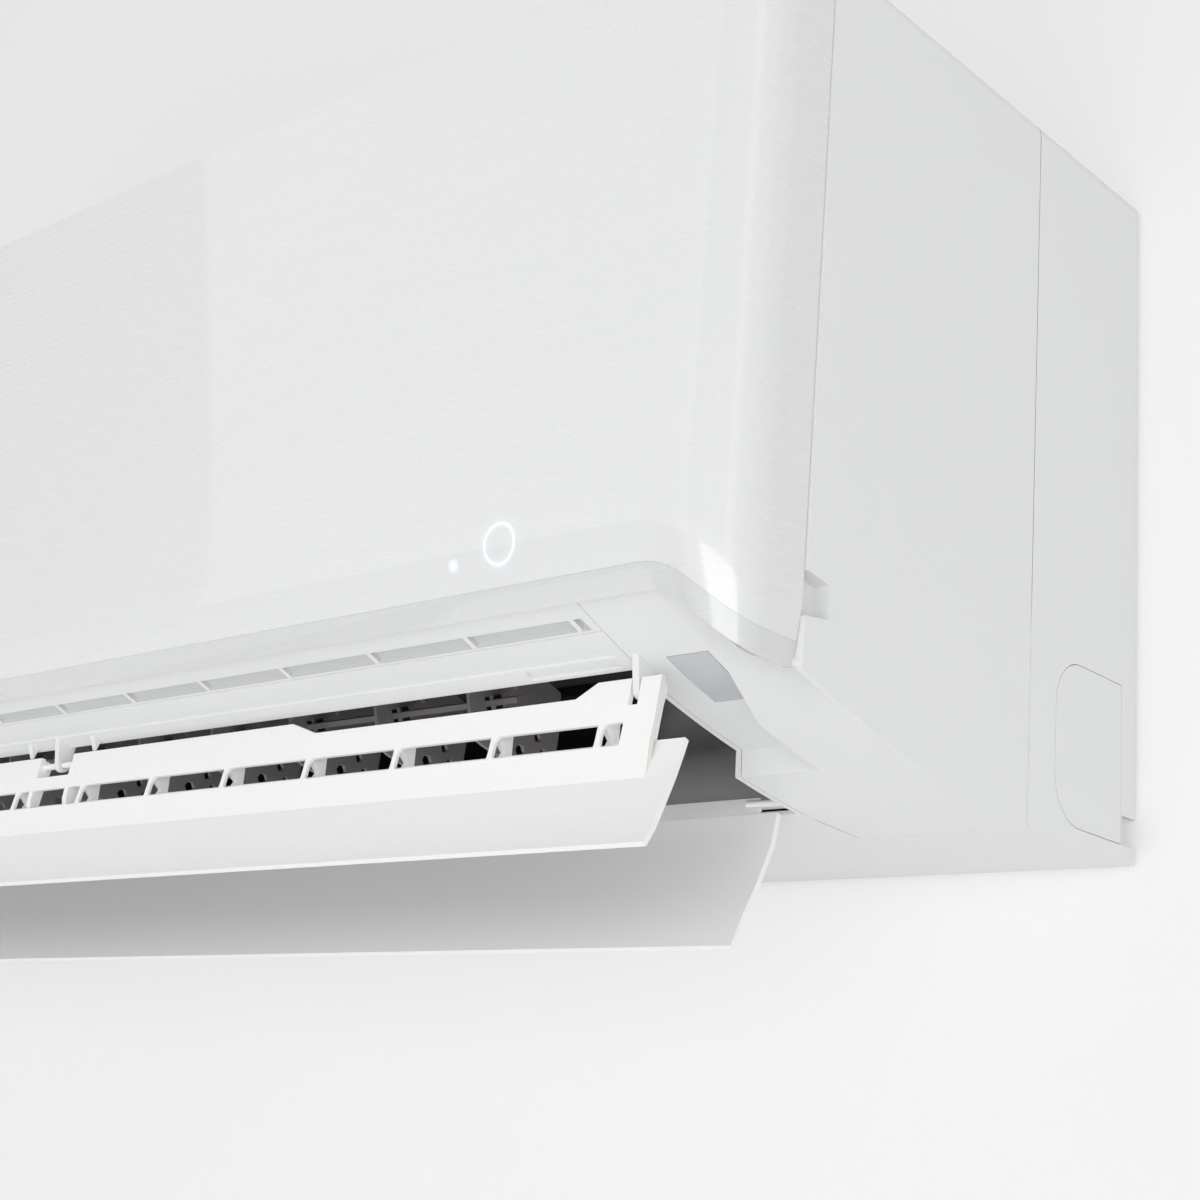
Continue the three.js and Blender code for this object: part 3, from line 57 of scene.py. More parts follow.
# ------------------------------------------------------------------ camera
CAMERA_PLACE = (800.941, -731.481, -137.613)
CAMERA_RIGHT = (0.746, 0.661, 0.080)
CAMERA_FORWARD = (-0.654, 0.704, 0.279)


def photo_camera():
    """The camera fitted to the photograph: its two directions are made square to each other."""
    right = Vector(CAMERA_RIGHT).normalized()
    forward = Vector(CAMERA_FORWARD).normalized()
    right = (right - forward * right.dot(forward)).normalized()
    up = right.cross(forward)
    data = bpy.data.cameras.new("photo_view")
    data.lens = 59.6875
    data.sensor_width = 36.0
    data.clip_start = 0.01
    camera = bpy.data.objects.new("photo_view", data)
    turn = Matrix((right, up, -forward)).transposed()
    camera.matrix_world = Matrix.Translation(place(*CAMERA_PLACE)) @ turn.to_4x4()
    bpy.context.scene.collection.objects.link(camera)
    bpy.context.scene.camera = camera


# ------------------------------------------------------------------ shader helpers
def add(tree, kind, **values):
    """A node with its properties and inputs set: an underscore in an input's name stands for a space."""
    node = tree.nodes.new(kind)
    for name, value in values.items():
        if hasattr(node, name):
            setattr(node, name, value)
        else:
            node.inputs[name.replace("_", " ")].default_value = value
    return node


def plug(tree, value, socket):
    """Links an output, or writes a constant, into a socket."""
    if hasattr(value, "links"):
        tree.links.new(value, socket)
    else:
        socket.default_value = value


def math_node(tree, operation, a, b=0.0):
    node = tree.nodes.new("ShaderNodeMath")
    node.operation = operation
    for socket, value in zip(node.inputs, (a, b)):
        plug(tree, value, socket)
    return node.outputs[0]


def blend_colour(tree, factor, a, b):
    node = tree.nodes.new("ShaderNodeMix")
    node.data_type = "RGBA"
    for socket, value in zip((node.inputs[0], node.inputs[6], node.inputs[7]), (factor, a, b)):
        plug(tree, value, socket)
    return node.outputs[2]


def ramp(tree, source, low, high, start=0.0, end=1.0):
    node = tree.nodes.new("ShaderNodeMapRange")
    node.inputs["From Min"].default_value = low
    node.inputs["From Max"].default_value = high
    node.inputs["To Min"].default_value = start
    node.inputs["To Max"].default_value = end
    tree.links.new(source, node.inputs["Value"])
    return node.outputs["Result"]


def object_place(tree):
    return tree.nodes.new("ShaderNodeTexCoord").outputs["Object"]


def split_axes(tree, vector):
    split = tree.nodes.new("ShaderNodeSeparateXYZ")
    tree.links.new(vector, split.inputs[0])
    return split.outputs


def add_bump(tree, surface, height, strength, distance):
    bump = add(tree, "ShaderNodeBump", Strength=strength, Distance=distance)
    tree.links.new(height, bump.inputs["Height"])
    tree.links.new(bump.outputs["Normal"], surface.inputs["Normal"])


def moulding_texture():
    """Fine texture of a moulded plastic skin: a slow drift of tone and a fine grain."""
    group = bpy.data.node_groups.new("moulding_texture", "ShaderNodeTree")
    face = group.interface
    scale = face.new_socket("Grain scale", in_out="INPUT", socket_type="NodeSocketFloat")
    scale.default_value = 1800.0
    face.new_socket("Grain", in_out="OUTPUT", socket_type="NodeSocketFloat")
    face.new_socket("Drift", in_out="OUTPUT", socket_type="NodeSocketFloat")
    start = group.nodes.new("NodeGroupInput")
    end = group.nodes.new("NodeGroupOutput")
    where = object_place(group)
    grain = add(group, "ShaderNodeTexNoise", Detail=2.0, Roughness=0.55)
    drift = add(group, "ShaderNodeTexNoise", Scale=7.0, Detail=3.0, Roughness=0.5)
    group.links.new(where, grain.inputs["Vector"])
    group.links.new(where, drift.inputs["Vector"])
    group.links.new(start.outputs["Grain scale"], grain.inputs["Scale"])
    group.links.new(grain.outputs["Fac"], end.inputs["Grain"])
    group.links.new(drift.outputs["Fac"], end.inputs["Drift"])
    return group


def settled_dust():
    """A thin veil of dust on what faces up."""
    group = bpy.data.node_groups.new("settled_dust", "ShaderNodeTree")
    amount = group.interface.new_socket("Amount", in_out="INPUT", socket_type="NodeSocketFloat")
    amount.default_value = 0.2
    group.interface.new_socket("Mask", in_out="OUTPUT", socket_type="NodeSocketFloat")
    start = group.nodes.new("NodeGroupInput")
    end = group.nodes.new("NodeGroupOutput")
    facing = group.nodes.new("ShaderNodeNewGeometry").outputs["Normal"]
    patch = add(group, "ShaderNodeTexNoise", Scale=24.0, Detail=5.0, Roughness=0.6)
    group.links.new(object_place(group), patch.inputs["Vector"])
    up = ramp(group, split_axes(group, facing)["Z"], 0.35, 0.95)
    cover = ramp(group, patch.outputs["Fac"], 0.35, 0.7)
    mask = math_node(group, "MULTIPLY", math_node(group, "MULTIPLY", up, cover), start.outputs["Amount"])
    group.links.new(mask, end.inputs["Mask"])
    return group


MOULDED = moulding_texture()
DUST = settled_dust()
DUST_COLOUR = (0.62, 0.61, 0.58)


def group_node(tree, group, **values):
    node = tree.nodes.new("ShaderNodeGroup")
    node.node_tree = group
    for name, value in values.items():
        node.inputs[name.replace("_", " ")].default_value = value
    return node


def blank(name):
    material = bpy.data.materials.new(name)
    material.use_nodes = True
    tree = material.node_tree
    return material, tree, tree.nodes["Principled BSDF"]


# ------------------------------------------------------------------ materials
def plastic(name, colour, rough, shade=0.94, grain=0.05, scale=1800.0, coat=0.0, dust=0.25):
    """Moulded plastic: tone drifts a little, the skin is finely grained, and dust lies on top."""
    material, tree, surface = blank(name)
    texture = group_node(tree, MOULDED, Grain_scale=scale)
    veil = group_node(tree, DUST, Amount=dust)
    dark = tuple(c * shade for c in colour)
    tone = blend_colour(tree, ramp(tree, texture.outputs["Drift"], 0.35, 0.65), (*dark, 1), (*colour, 1))
    dusty = blend_colour(tree, veil.outputs["Mask"], tone, (*DUST_COLOUR, 1))
    tree.links.new(dusty, surface.inputs["Base Color"])
    roughness = ramp(tree, texture.outputs["Grain"], 0.3, 0.7, rough - 0.04, rough + 0.05)
    dulled = math_node(tree, "ADD", roughness, math_node(tree, "MULTIPLY", veil.outputs["Mask"], 0.3))
    tree.links.new(dulled, surface.inputs["Roughness"])
    add_bump(tree, surface, texture.outputs["Grain"], grain, 0.0002)
    surface.inputs["Coat Weight"].default_value = coat
    surface.inputs["Coat Roughness"].default_value = 0.06
    return material


def painted_duct_shade(name):
    """Painted shade on the duct's white moulding: near black deep inside, fading to the moulding's own white
    towards the duct's outer and lower ends.
    """
    material, tree, surface = blank(name)
    axes = split_axes(tree, object_place(tree))
    texture = group_node(tree, MOULDED, Grain_scale=900.0)
    # the painted shade fades out towards the duct's outer ends and its lower end, where the white moulding
    # shows
    outwards = ramp(tree, math_node(tree, "ABSOLUTE", axes["X"]), 0.200, 0.235)
    downwards = ramp(tree, axes["Z"], -0.085, -0.105)
    pale = math_node(tree, "MULTIPLY", outwards, downwards)
    dark = blend_colour(tree, texture.outputs["Drift"], (0.012, 0.011, 0.011, 1), (0.026, 0.025, 0.025, 1))
    tree.links.new(blend_colour(tree, pale, dark, (0.80, 0.80, 0.80, 1)), surface.inputs["Base Color"])
    tree.links.new(ramp(tree, texture.outputs["Grain"], 0.3, 0.7, 0.5, 0.62), surface.inputs["Roughness"])
    return material


def metal(name, colour, rough, streak, stretch):
    """Drawn or rolled metal with faint lines along its length."""
    material, tree, surface = blank(name)
    lay = add(tree, "ShaderNodeMapping")
    lay.inputs["Scale"].default_value = stretch
    lines = add(tree, "ShaderNodeTexNoise", Scale=60.0, Detail=6.0, Roughness=0.7)
    tree.links.new(object_place(tree), lay.inputs["Vector"])
    tree.links.new(lay.outputs["Vector"], lines.inputs["Vector"])
    tone = blend_colour(tree, lines.outputs["Fac"], (*(c * (1 - streak) for c in colour), 1), (*colour, 1))
    tree.links.new(tone, surface.inputs["Base Color"])
    shine = ramp(tree, lines.outputs["Fac"], 0.3, 0.7, rough - 0.08, rough + 0.1)
    tree.links.new(shine, surface.inputs["Roughness"])
    surface.inputs["Metallic"].default_value = 1.0
    add_bump(tree, surface, lines.outputs["Fac"], 0.08, 0.0002)
    return material


def fin_pack(name):
    """Aluminium fins seen edge on: close parallel lines across the coil, with painted shade in the gaps
    between the fins.
    """
    material, tree, surface = blank(name)
    fins = add(tree, "ShaderNodeTexWave", Scale=200.0, Distortion=0.15)
    fins.bands_direction = "X"
    tree.links.new(object_place(tree), fins.inputs["Vector"])
    # the dark tone is painted shade between the fins, the light tone the fins' edges
    tone = blend_colour(tree, fins.outputs["Fac"], (0.10, 0.11, 0.12, 1), (0.62, 0.66, 0.68, 1))
    tree.links.new(tone, surface.inputs["Base Color"])
    tree.links.new(ramp(tree, fins.outputs["Fac"], 0.0, 1.0, 0.7, 0.35), surface.inputs["Roughness"])
    surface.inputs["Metallic"].default_value = 0.7
    add_bump(tree, surface, fins.outputs["Fac"], 0.5, 0.0008)
    return material


def circuit_board(name):
    """A green board whose tracks show as brighter lines between its areas."""
    material, tree, surface = blank(name)
    tracks = add(tree, "ShaderNodeTexBrick", Scale=90.0)
    tracks.inputs["Color1"].default_value = (0.02, 0.10, 0.045, 1)
    tracks.inputs["Color2"].default_value = (0.03, 0.14, 0.06, 1)
    tracks.inputs["Mortar"].default_value = (0.05, 0.20, 0.09, 1)
    tree.links.new(object_place(tree), tracks.inputs["Vector"])
    tree.links.new(tracks.outputs["Color"], surface.inputs["Base Color"])
    tree.links.new(ramp(tree, tracks.outputs["Fac"], 0.0, 1.0, 0.35, 0.55), surface.inputs["Roughness"])
    return material


def filter_net(name):
    """A fine woven net: grey threads over darker openings."""
    material, tree, surface = blank(name)
    where = object_place(tree)
    across = add(tree, "ShaderNodeTexWave", Scale=160.0)
    down = add(tree, "ShaderNodeTexWave", Scale=160.0)
    across.bands_direction = "X"
    down.bands_direction = "Z"
    for threads in (across, down):
        tree.links.new(where, threads.inputs["Vector"])
    weave = math_node(tree, "MAXIMUM", across.outputs["Fac"], down.outputs["Fac"])
    tone = blend_colour(tree, weave, (0.02, 0.02, 0.022, 1), (0.11, 0.115, 0.12, 1))
    tree.links.new(tone, surface.inputs["Base Color"])
    surface.inputs["Roughness"].default_value = 0.6
    add_bump(tree, surface, weave, 0.4, 0.0004)
    return material


# the lights behind the pearl sheet, in metres: place across and up the panel, then the size
RING_PLACE = (0.3213, -0.1071)
RING_RADIUS = 0.0073
DOT_PLACE = (0.2983, -0.1118)
DOT_RADIUS = 0.0034
PEARL_LOW, PEARL_HIGH = (0.726, 0.734, 0.739, 1), (0.736, 0.742, 0.746, 1)
LIP_TONE = (0.70, 0.708, 0.712, 1)
SHEET_END_TONE = (0.50, 0.51, 0.52, 1)
GLOW_SOFT, GLOW_BRIGHT = (0.30, 0.80, 0.90, 1), (0.72, 0.98, 1.0, 1)


def pearl_face(name):
    """Pearl sheet under clear acrylic: fine wavy lines, a clear lower lip, two lights glowing through."""
    material, tree, surface = blank(name)
    where = object_place(tree)
    axes = split_axes(tree, where)
    stretch = add(tree, "ShaderNodeMapping")
    stretch.inputs["Scale"].default_value = (2.4, 2.4, 26.0)
    ripple = add(tree, "ShaderNodeTexNoise", Scale=6.0, Detail=5.0, Roughness=0.62, Distortion=0.25)
    tree.links.new(where, stretch.inputs["Vector"])
    tree.links.new(stretch.outputs["Vector"], ripple.inputs["Vector"])
    lines = add(tree, "ShaderNodeTexWave", Scale=92.0, Distortion=2.4, Detail=2.0)
    lines.inputs["Detail Scale"].default_value = 0.35
    lines.bands_direction = "Z"
    tree.links.new(where, lines.inputs["Vector"])
    sheen = math_node(tree, "MULTIPLY", ramp(tree, ripple.outputs["Fac"], 0.38, 0.62), lines.outputs["Fac"])
    pearl = blend_colour(tree, sheen, PEARL_LOW, PEARL_HIGH)

    # the lip's attribute is 1 below the pearl sheet's end and 0 above it; the end itself shows as a thin line
    clear = add(tree, "ShaderNodeAttribute", attribute_name="clear_lip").outputs["Fac"]
    lip_tone = blend_colour(tree, clear, pearl, LIP_TONE)
    centred = math_node(tree, "SUBTRACT", math_node(tree, "MULTIPLY", clear, 2.0), 1.0)
    sheet_end = math_node(tree, "SUBTRACT", 1.0, math_node(tree, "ABSOLUTE", centred))
    faint = math_node(tree, "MULTIPLY", sheet_end, 0.7)
    tree.links.new(blend_colour(tree, faint, lip_tone, SHEET_END_TONE), surface.inputs["Base Color"])
    tree.links.new(ramp(tree, clear, 0.0, 1.0, 1.0, 0.92), surface.inputs["Alpha"])
    tree.links.new(ramp(tree, sheen, 0.0, 1.0, 0.30, 0.22), surface.inputs["Roughness"])
    surface.inputs["Coat Weight"].default_value = 1.0
    surface.inputs["Coat Roughness"].default_value = 0.025
    surface.inputs["Coat IOR"].default_value = 1.49

    def distance_from(spot):
        dx = math_node(tree, "SUBTRACT", axes["X"], spot[0])
        dz = math_node(tree, "SUBTRACT", axes["Z"], spot[1])
        squares = (math_node(tree, "MULTIPLY", dx, dx), math_node(tree, "MULTIPLY", dz, dz))
        return math_node(tree, "SQRT", math_node(tree, "ADD", *squares))

    from_ring = math_node(tree, "SUBTRACT", distance_from(RING_PLACE), RING_RADIUS)
    off_ring = math_node(tree, "ABSOLUTE", from_ring)
    band = ramp(tree, off_ring, 0.0011, 0.0003)
    halo = ramp(tree, off_ring, 0.0045, 0.0006, 0.0, 0.22)
    dot = ramp(tree, distance_from(DOT_PLACE), DOT_RADIUS, 0.0008)
    front = ramp(tree, axes["Y"], -0.262, -0.265)
    lights = math_node(tree, "MAXIMUM", math_node(tree, "MAXIMUM", band, halo), dot)
    glow = math_node(tree, "MULTIPLY", lights, front)
    cool = blend_colour(tree, math_node(tree, "MAXIMUM", band, dot), GLOW_SOFT, GLOW_BRIGHT)
    tree.links.new(blend_colour(tree, glow, (0, 0, 0, 1), cool), surface.inputs["Emission Color"])
    surface.inputs["Emission Strength"].default_value = 0.30
    # the faint glow lights nothing, so it stays out of the lamps' sampling
    material.cycles.emission_sampling = "NONE"
    return material


def grey_lens(name):
    material, tree, surface = blank(name)
    texture = group_node(tree, MOULDED, Grain_scale=900.0)
    tone = blend_colour(tree, texture.outputs["Drift"], (0.47, 0.48, 0.50, 1), (0.52, 0.53, 0.55, 1))
    tree.links.new(tone, surface.inputs["Base Color"])
    tree.links.new(ramp(tree, texture.outputs["Grain"], 0.3, 0.7, 0.14, 0.22), surface.inputs["Roughness"])
    surface.inputs["Coat Weight"].default_value = 0.6
    surface.inputs["Coat Roughness"].default_value = 0.05
    return material


WHITE = plastic("white_moulding", (0.778, 0.785, 0.79), 0.40, shade=0.988, dust=0.12)
SATIN = plastic("white_louvre", (0.885, 0.888, 0.89), 0.30, shade=0.99, grain=0.03, dust=0.1)
CREAM = plastic("louvre_tab_end", (0.80, 0.775, 0.72), 0.4, shade=0.985, dust=0.1)
# near black painted shade, standing in for the shade deep in the duct; the crossflow fan wears it
SHADE = plastic("painted_shade_black", (0.020, 0.019, 0.019), 0.55, shade=0.7, dust=0.1)
# painted shade inside the duct, laid over the rear chassis's white moulding
DUCT_SHADE = painted_duct_shade("painted_duct_shade")
VANE = plastic("vane_grey", (0.26, 0.245, 0.24), 0.45, shade=0.85, dust=0.15)
# painted shade on the floor of the trim strip's slot, which is the strip's own white moulding
SLOT_SHADE = plastic("slot_painted_shade", (0.60, 0.608, 0.615), 0.5, shade=0.97)
FOAM = plastic("pan_grey", (0.035, 0.034, 0.034), 0.7, shade=0.7, grain=0.4, scale=500.0)
PEARL = pearl_face("pearl_face")
LENS = grey_lens("receiver_lens")
ZINC = metal("zinc_steel", (0.58, 0.59, 0.60), 0.42, 0.12, (1, 1, 8))
COPPER = metal("copper_tube", (0.72, 0.40, 0.26), 0.34, 0.2, (1, 8, 8))
BRASS = metal("turned_brass", (0.74, 0.58, 0.30), 0.30, 0.1, (8, 1, 1))
FINS = fin_pack("coil_fins")
BOARD = circuit_board("green_board")
NET = filter_net("filter_net")
GUIDE = plastic("light_guide", (0.80, 0.86, 0.88), 0.18, shade=0.98, coat=0.5, dust=0.0)


# ------------------------------------------------------------------ pieces
def make_piece(bm, name, *materials):
    """The finished bmesh as an object in the scene."""
    mesh = bpy.data.meshes.new(name)
    bm.to_mesh(mesh)
    bm.free()
    for material in materials:
        mesh.materials.append(material)
    piece = bpy.data.objects.new(name, mesh)
    bpy.context.scene.collection.objects.link(piece)
    return piece


def to_scene(bm):
    """Takes a shape drawn in the unit's millimetres into the scene's frame."""
    bmesh.ops.scale(bm, vec=(MM, MM, MM), verts=bm.verts)
    bmesh.ops.translate(bm, vec=(0, 0, LIFT / 1000), verts=bm.verts)


def round_edges(piece, name, width, segments, over_degrees):
    """A bevel on every edge that is sharper than the angle."""
    bevel = piece.modifiers.new(name, "BEVEL")
    bevel.width = width
    bevel.segments = segments
    bevel.limit_method = "ANGLE"
    bevel.angle_limit = math.radians(over_degrees)
    return bevel


def give_wall(piece, name, thickness):
    """Thickness inwards from the drawn skin."""
    wall = piece.modifiers.new(name, "SOLIDIFY")
    wall.thickness = thickness
    wall.offset = -1.0


def stand_for(piece, name):
    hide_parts(name)
    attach(piece, BODY_OF[name])


def keep(name, material):
    """A CAD node that stays as it is, in a better finish."""
    data = nodes[name].data
    data.materials.clear()
    data.materials.append(material)


def softened(name, material, edge=0.0005, inner=None, inside=None, trim=None):
    """A copy of a CAD node with its moulded edges rounded, which stands for the node.

    The faces for which inside(centre, normal) is true get the inner material. trim changes the copy first.
    """
    bm = bmesh.new()
    bm.from_mesh(nodes[name].data)
    bmesh.ops.remove_doubles(bm, verts=bm.verts, dist=2e-6)
    bmesh.ops.dissolve_limit(bm, angle_limit=math.radians(0.05), verts=bm.verts, edges=bm.edges)
    if trim:
        trim(bm)
    for face in bm.faces:
        face.smooth = True
        face.material_index = 1 if inner and inside(face.calc_center_median(), face.normal) else 0
    piece = make_piece(bm, name + "_finish", material, *([inner] if inner else []))
    round_edges(piece, "rounded_edges", edge, 2, 32).harden_normals = True
    even = piece.modifiers.new("even_shading", "WEIGHTED_NORMAL")
    even.keep_sharp = True
    stand_for(piece, name)


# the rounded top side edge of the chassis, taken as a plane at 45 degrees
TOP_EDGE_X, TOP_EDGE_Z = 423.3, 293.66


def trim_top_corners(bm):
    """Cuts the chassis's post and back wall corners back to the rounded top edge."""
    for side in (1, -1):
        whole = bm.verts[:] + bm.edges[:] + bm.faces[:]
        edge = place(side * TOP_EDGE_X, 0, TOP_EDGE_Z)
        cut = bmesh.ops.bisect_plane(bm, geom=whole, dist=1e-6, plane_co=edge, plane_no=(side, 0, 1),
                                     clear_outer=True)["geom_cut"]
        bmesh.ops.holes_fill(bm, edges=[g for g in cut if isinstance(g, bmesh.types.BMEdge)], sides=0)


def vertices_of(geometry):
    return [g for g in geometry if isinstance(g, bmesh.types.BMVert)]


# ------------------------------------------------------------------ front panel
SIDE, FRONT, REAR, TOP = 424.5, -270.0, -229.0, 290.0
CORNER, CORNER_STEPS = 24.0, 18
# from the corner inwards to just short of the middle, where the two halves are joined
PLAN_STEPS = (-4, -4, -4, -4.5, -12, -60, -156, -156)
# the lower edge: level along the middle, then dropping in a smooth run that ends round the corner
LIP_FLOOR, LIP_DROP = 49, 22.5
DROP_START, DROP_RUN = 384, 54
# the lip rolls inwards below this height, less so round the corner
ROLL, ROLL_RISE, CORNER_EASE = 8.0, 31.0, 0.6
RISES = [0, 1.2, 4, 8.6, 9.2, 14, 19, 25, 31, 90, 180, 232, 241]
SHEET_END = 8.9
# the top edge folds back over the casing between the posts
FOLD_FROM, FOLD_TO, FOLD_INSET = -239, -240.0, 2


def corner_angle(x, y):
    """How far round the vertical corner a point of the plan line lies."""
    out = abs(x) - (SIDE - CORNER)
    back = FRONT + CORNER - y
    if out <= 0:
        return 0.0
    return math.pi / 2 if back <= 0 else math.atan2(out, back)


def lip_height(x, y):
    run = min(abs(x), SIDE - CORNER) - DROP_START + CORNER * corner_angle(x, y)
    return LIP_FLOOR - LIP_DROP * (1 - math.cos(math.pi * min(1, max(0, run / DROP_RUN)))) / 2


def panel_plan(bm):
    """The panel's plan line: half of it drawn and spun round its corner, then mirrored."""
    rear = bm.verts.new((SIDE, REAR, 0))
    chain = bmesh.ops.extrude_vert_indiv(bm, verts=[rear])["verts"]
    bmesh.ops.translate(bm, verts=chain, vec=(0, FRONT + CORNER - REAR, 0))
    turned = bmesh.ops.spin(bm, geom=chain, cent=(SIDE - CORNER, FRONT + CORNER, 0), axis=(0, 0, 1),
                            angle=-math.pi / 2, steps=CORNER_STEPS, use_merge=False)["geom_last"]
    tip = vertices_of(turned)
    for step in PLAN_STEPS:
        tip = bmesh.ops.extrude_vert_indiv(bm, verts=tip)["verts"]
        bmesh.ops.translate(bm, verts=tip, vec=(step, 0, 0))
    bmesh.ops.mirror(bm, geom=bm.verts[:] + bm.edges[:], matrix=Matrix(), axis="X", merge_dist=0.01)
    bmesh.ops.remove_doubles(bm, verts=bm.verts, dist=0.05)


def panel_shell():
    """The plan line drawn up from the lip to the top edge. Returns the mesh and its top row of edges."""
    bm = bmesh.new()
    panel_plan(bm)
    clear = bm.verts.layers.float.new("clear_lip")
    plan = {v: (v.co.x, v.co.y) for v in bm.verts}
    row = list(bm.edges)

    def settle(verts, rise):
        for v in verts:
            x, y = plan[v]
            facing = corner_angle(x, y)
            turn = max(0, 1 - rise / ROLL_RISE) ** 2
            roll = turn * ROLL * (1 - CORNER_EASE * math.sin(facing))
            v.co.x = x - math.copysign(math.sin(facing), x) * roll
            v.co.y = y + math.cos(facing) * roll
            v.co.z = lip_height(x, y) + rise if rise <= ROLL_RISE else LIP_FLOOR + rise
            v[clear] = 1.0 if rise < SHEET_END else 0.0

    settle(list(bm.verts), 0)
    for rise in RISES[1:]:
        grown = bmesh.ops.extrude_edge_only(bm, edges=row)["geom"]
        fresh = vertices_of(grown)
        row = [g for g in grown if isinstance(g, bmesh.types.BMEdge) and all(v in fresh for v in g.verts)]
        plan.update({v: next(plan[e.other_vert(v)] for e in v.link_edges if e.other_vert(v) in plan)
                     for v in fresh})
        settle(fresh, rise)
    return bm, row


def front_panel():
    bm, rim = panel_shell()
    for v in {v for e in rim for v in e.verts}:
        v.co.z = TOP
    front_rim = [e for e in rim if all(v.co.y < FOLD_FROM for v in e.verts)]
    for v in vertices_of(bmesh.ops.extrude_edge_only(bm, edges=front_rim)["geom"]):
        v.co.x = math.copysign(min(abs(v.co.x), SIDE - FOLD_INSET), v.co.x)
        v.co.y = FOLD_TO
    bmesh.ops.recalc_face_normals(bm, faces=bm.faces)
    for face in bm.faces:
        face.smooth = True
    to_scene(bm)
    panel = make_piece(bm, "front_panel_pearl", PEARL)
    give_wall(panel, "acrylic_wall", 0.003)
    round_edges(panel, "polished_edge", 0.0006, 3, 50).harden_normals = True
    stand_for(panel, "front_panel")


# ------------------------------------------------------------------ upper louvre's ribs
WINDOW_LOW, WINDOW_HIGH = 5.8, 14.4
RIB_PITCH, RIB_COUNT, RIB_HALF = 52.5, 14, 1.2
# each rib runs past its window by OVERLAP, lies SUNK behind the louvre's face, and flares into the rails
OVERLAP, SUNK = 0.6, 0.15
FLARE, LEFT_SHARE = 3.0, 0.35
# the tail below it: its length, the share of the width left at its tip, and how far the tip stands proud
TAIL, TAIL_TIP, TAIL_PROUD = 4.0, 0.06, 0.05
# the louvre's front surface bends at the windows' lower edge: run over rise above it and below it
FACE_Y = -232.9
SLOPE_ABOVE, SLOPE_BELOW = (1.7, 8.6), (0.8, 12.2)


def louvre_face_y(z):
    """The front surface of the upper louvre at a height."""
    run, rise = SLOPE_ABOVE if z > WINDOW_LOW else SLOPE_BELOW
    return FACE_Y + (z - WINDOW_LOW) * run / rise


def rib_fronts():
    """The ribs' front edges across the windows: flared into the rails, with a pointed tail below."""
    bm = bmesh.new()
    middle = (WINDOW_LOW + WINDOW_HIGH) / 2
    span = (WINDOW_HIGH - WINDOW_LOW) / 2
    for k in range(RIB_COUNT):
        x = (k - (RIB_COUNT - 1) / 2) * RIB_PITCH
        sheet = bmesh.ops.create_grid(bm, x_segments=1, y_segments=14, size=1.0)["verts"]
        for v in sheet:
            side, up = v.co.x, v.co.y
            reach = abs(up) ** 5
            height = middle + up * (span + OVERLAP)
            left = RIB_HALF + (FLARE * reach if up < 0 and side < 0 else 0) * LEFT_SHARE
            right = RIB_HALF + FLARE * reach
            v.co = (x + (right if side > 0 else -left), louvre_face_y(height) + SUNK, height)
        tip = [v for v in sheet if v.co.z < WINDOW_LOW - 0.5]
        edge = [e for e in {e for v in tip for e in v.link_edges} if all(v in tip for v in e.verts)]
        for v in vertices_of(bmesh.ops.extrude_edge_only(bm, edges=edge)["geom"]):
            low = WINDOW_LOW - TAIL
            v.co = (x + (v.co.x - x) * TAIL_TIP, louvre_face_y(low) - TAIL_PROUD, low)
    bmesh.ops.recalc_face_normals(bm, faces=bm.faces)
    if sum(f.normal.y for f in bm.faces) > 0:
        bmesh.ops.reverse_faces(bm, faces=bm.faces)
    to_scene(bm)
    ribs = make_piece(bm, "louvre_rib_fronts", SATIN)
    give_wall(ribs, "rib_wall", 0.0016)
    round_edges(ribs, "rib_edge", 0.0003, 2, 40)
    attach(ribs, "upper_louver")


# ------------------------------------------------------------------ stage, in metres
WALL_Y, FLOOR_Z = 0.002, -1.6
ROOM_LEFT, ROOM_RIGHT, ROOM_FRONT, ROOM_TOP = -4, 4, -5, 3
# name, place, target, size across and up, watts
LAMPS = [
    ("key", (-1.2, -2.4, 1.0), (0, -0.1, 0), (2.2, 1.6), 5),
    ("fill", (2.2, -2.9, -0.78), (0.2, -0.15, -0.1), (4.4, 2.4), 73),
    ("band", (2.08, -1.38, 0.9), (0.424, -0.262, 0), (0.45, 2.4), 2),
    ("low", (0.1, -1.1, -1.0), (0.2, -0.2, 0), (2.0, 1.2), 5),
]


def lamp(name, where, target, size, power):
    data = bpy.data.lights.new(name, "AREA")
    data.shape = "RECTANGLE"
    data.size, data.size_y = size
    data.energy = power
    light = bpy.data.objects.new(name, data)
    light.location = where
    light.rotation_euler = (Vector(target) - Vector(where)).to_track_quat("-Z", "Y").to_euler()
    bpy.context.scene.collection.objects.link(light)


def white_room():
    """An even world: dimmer for the light it gives than for what is seen in it."""
    world = bpy.data.worlds.new("white_room")
    bpy.context.scene.world = world
    world.use_nodes = True
    tree = world.node_tree
    sky = tree.nodes["Background"]
    seen = tree.nodes.new("ShaderNodeLightPath").outputs
    mirrored = math_node(tree, "MAXIMUM", seen["Is Glossy Ray"], seen["Is Transmission Ray"])
    shown = math_node(tree, "MAXIMUM", seen["Is Camera Ray"], mirrored)
    tree.links.new(ramp(tree, shown, 0.0, 1.0, 0.42, 1.0), sky.inputs["Strength"])
    sky.inputs["Color"].default_value = (1, 1, 1, 1)


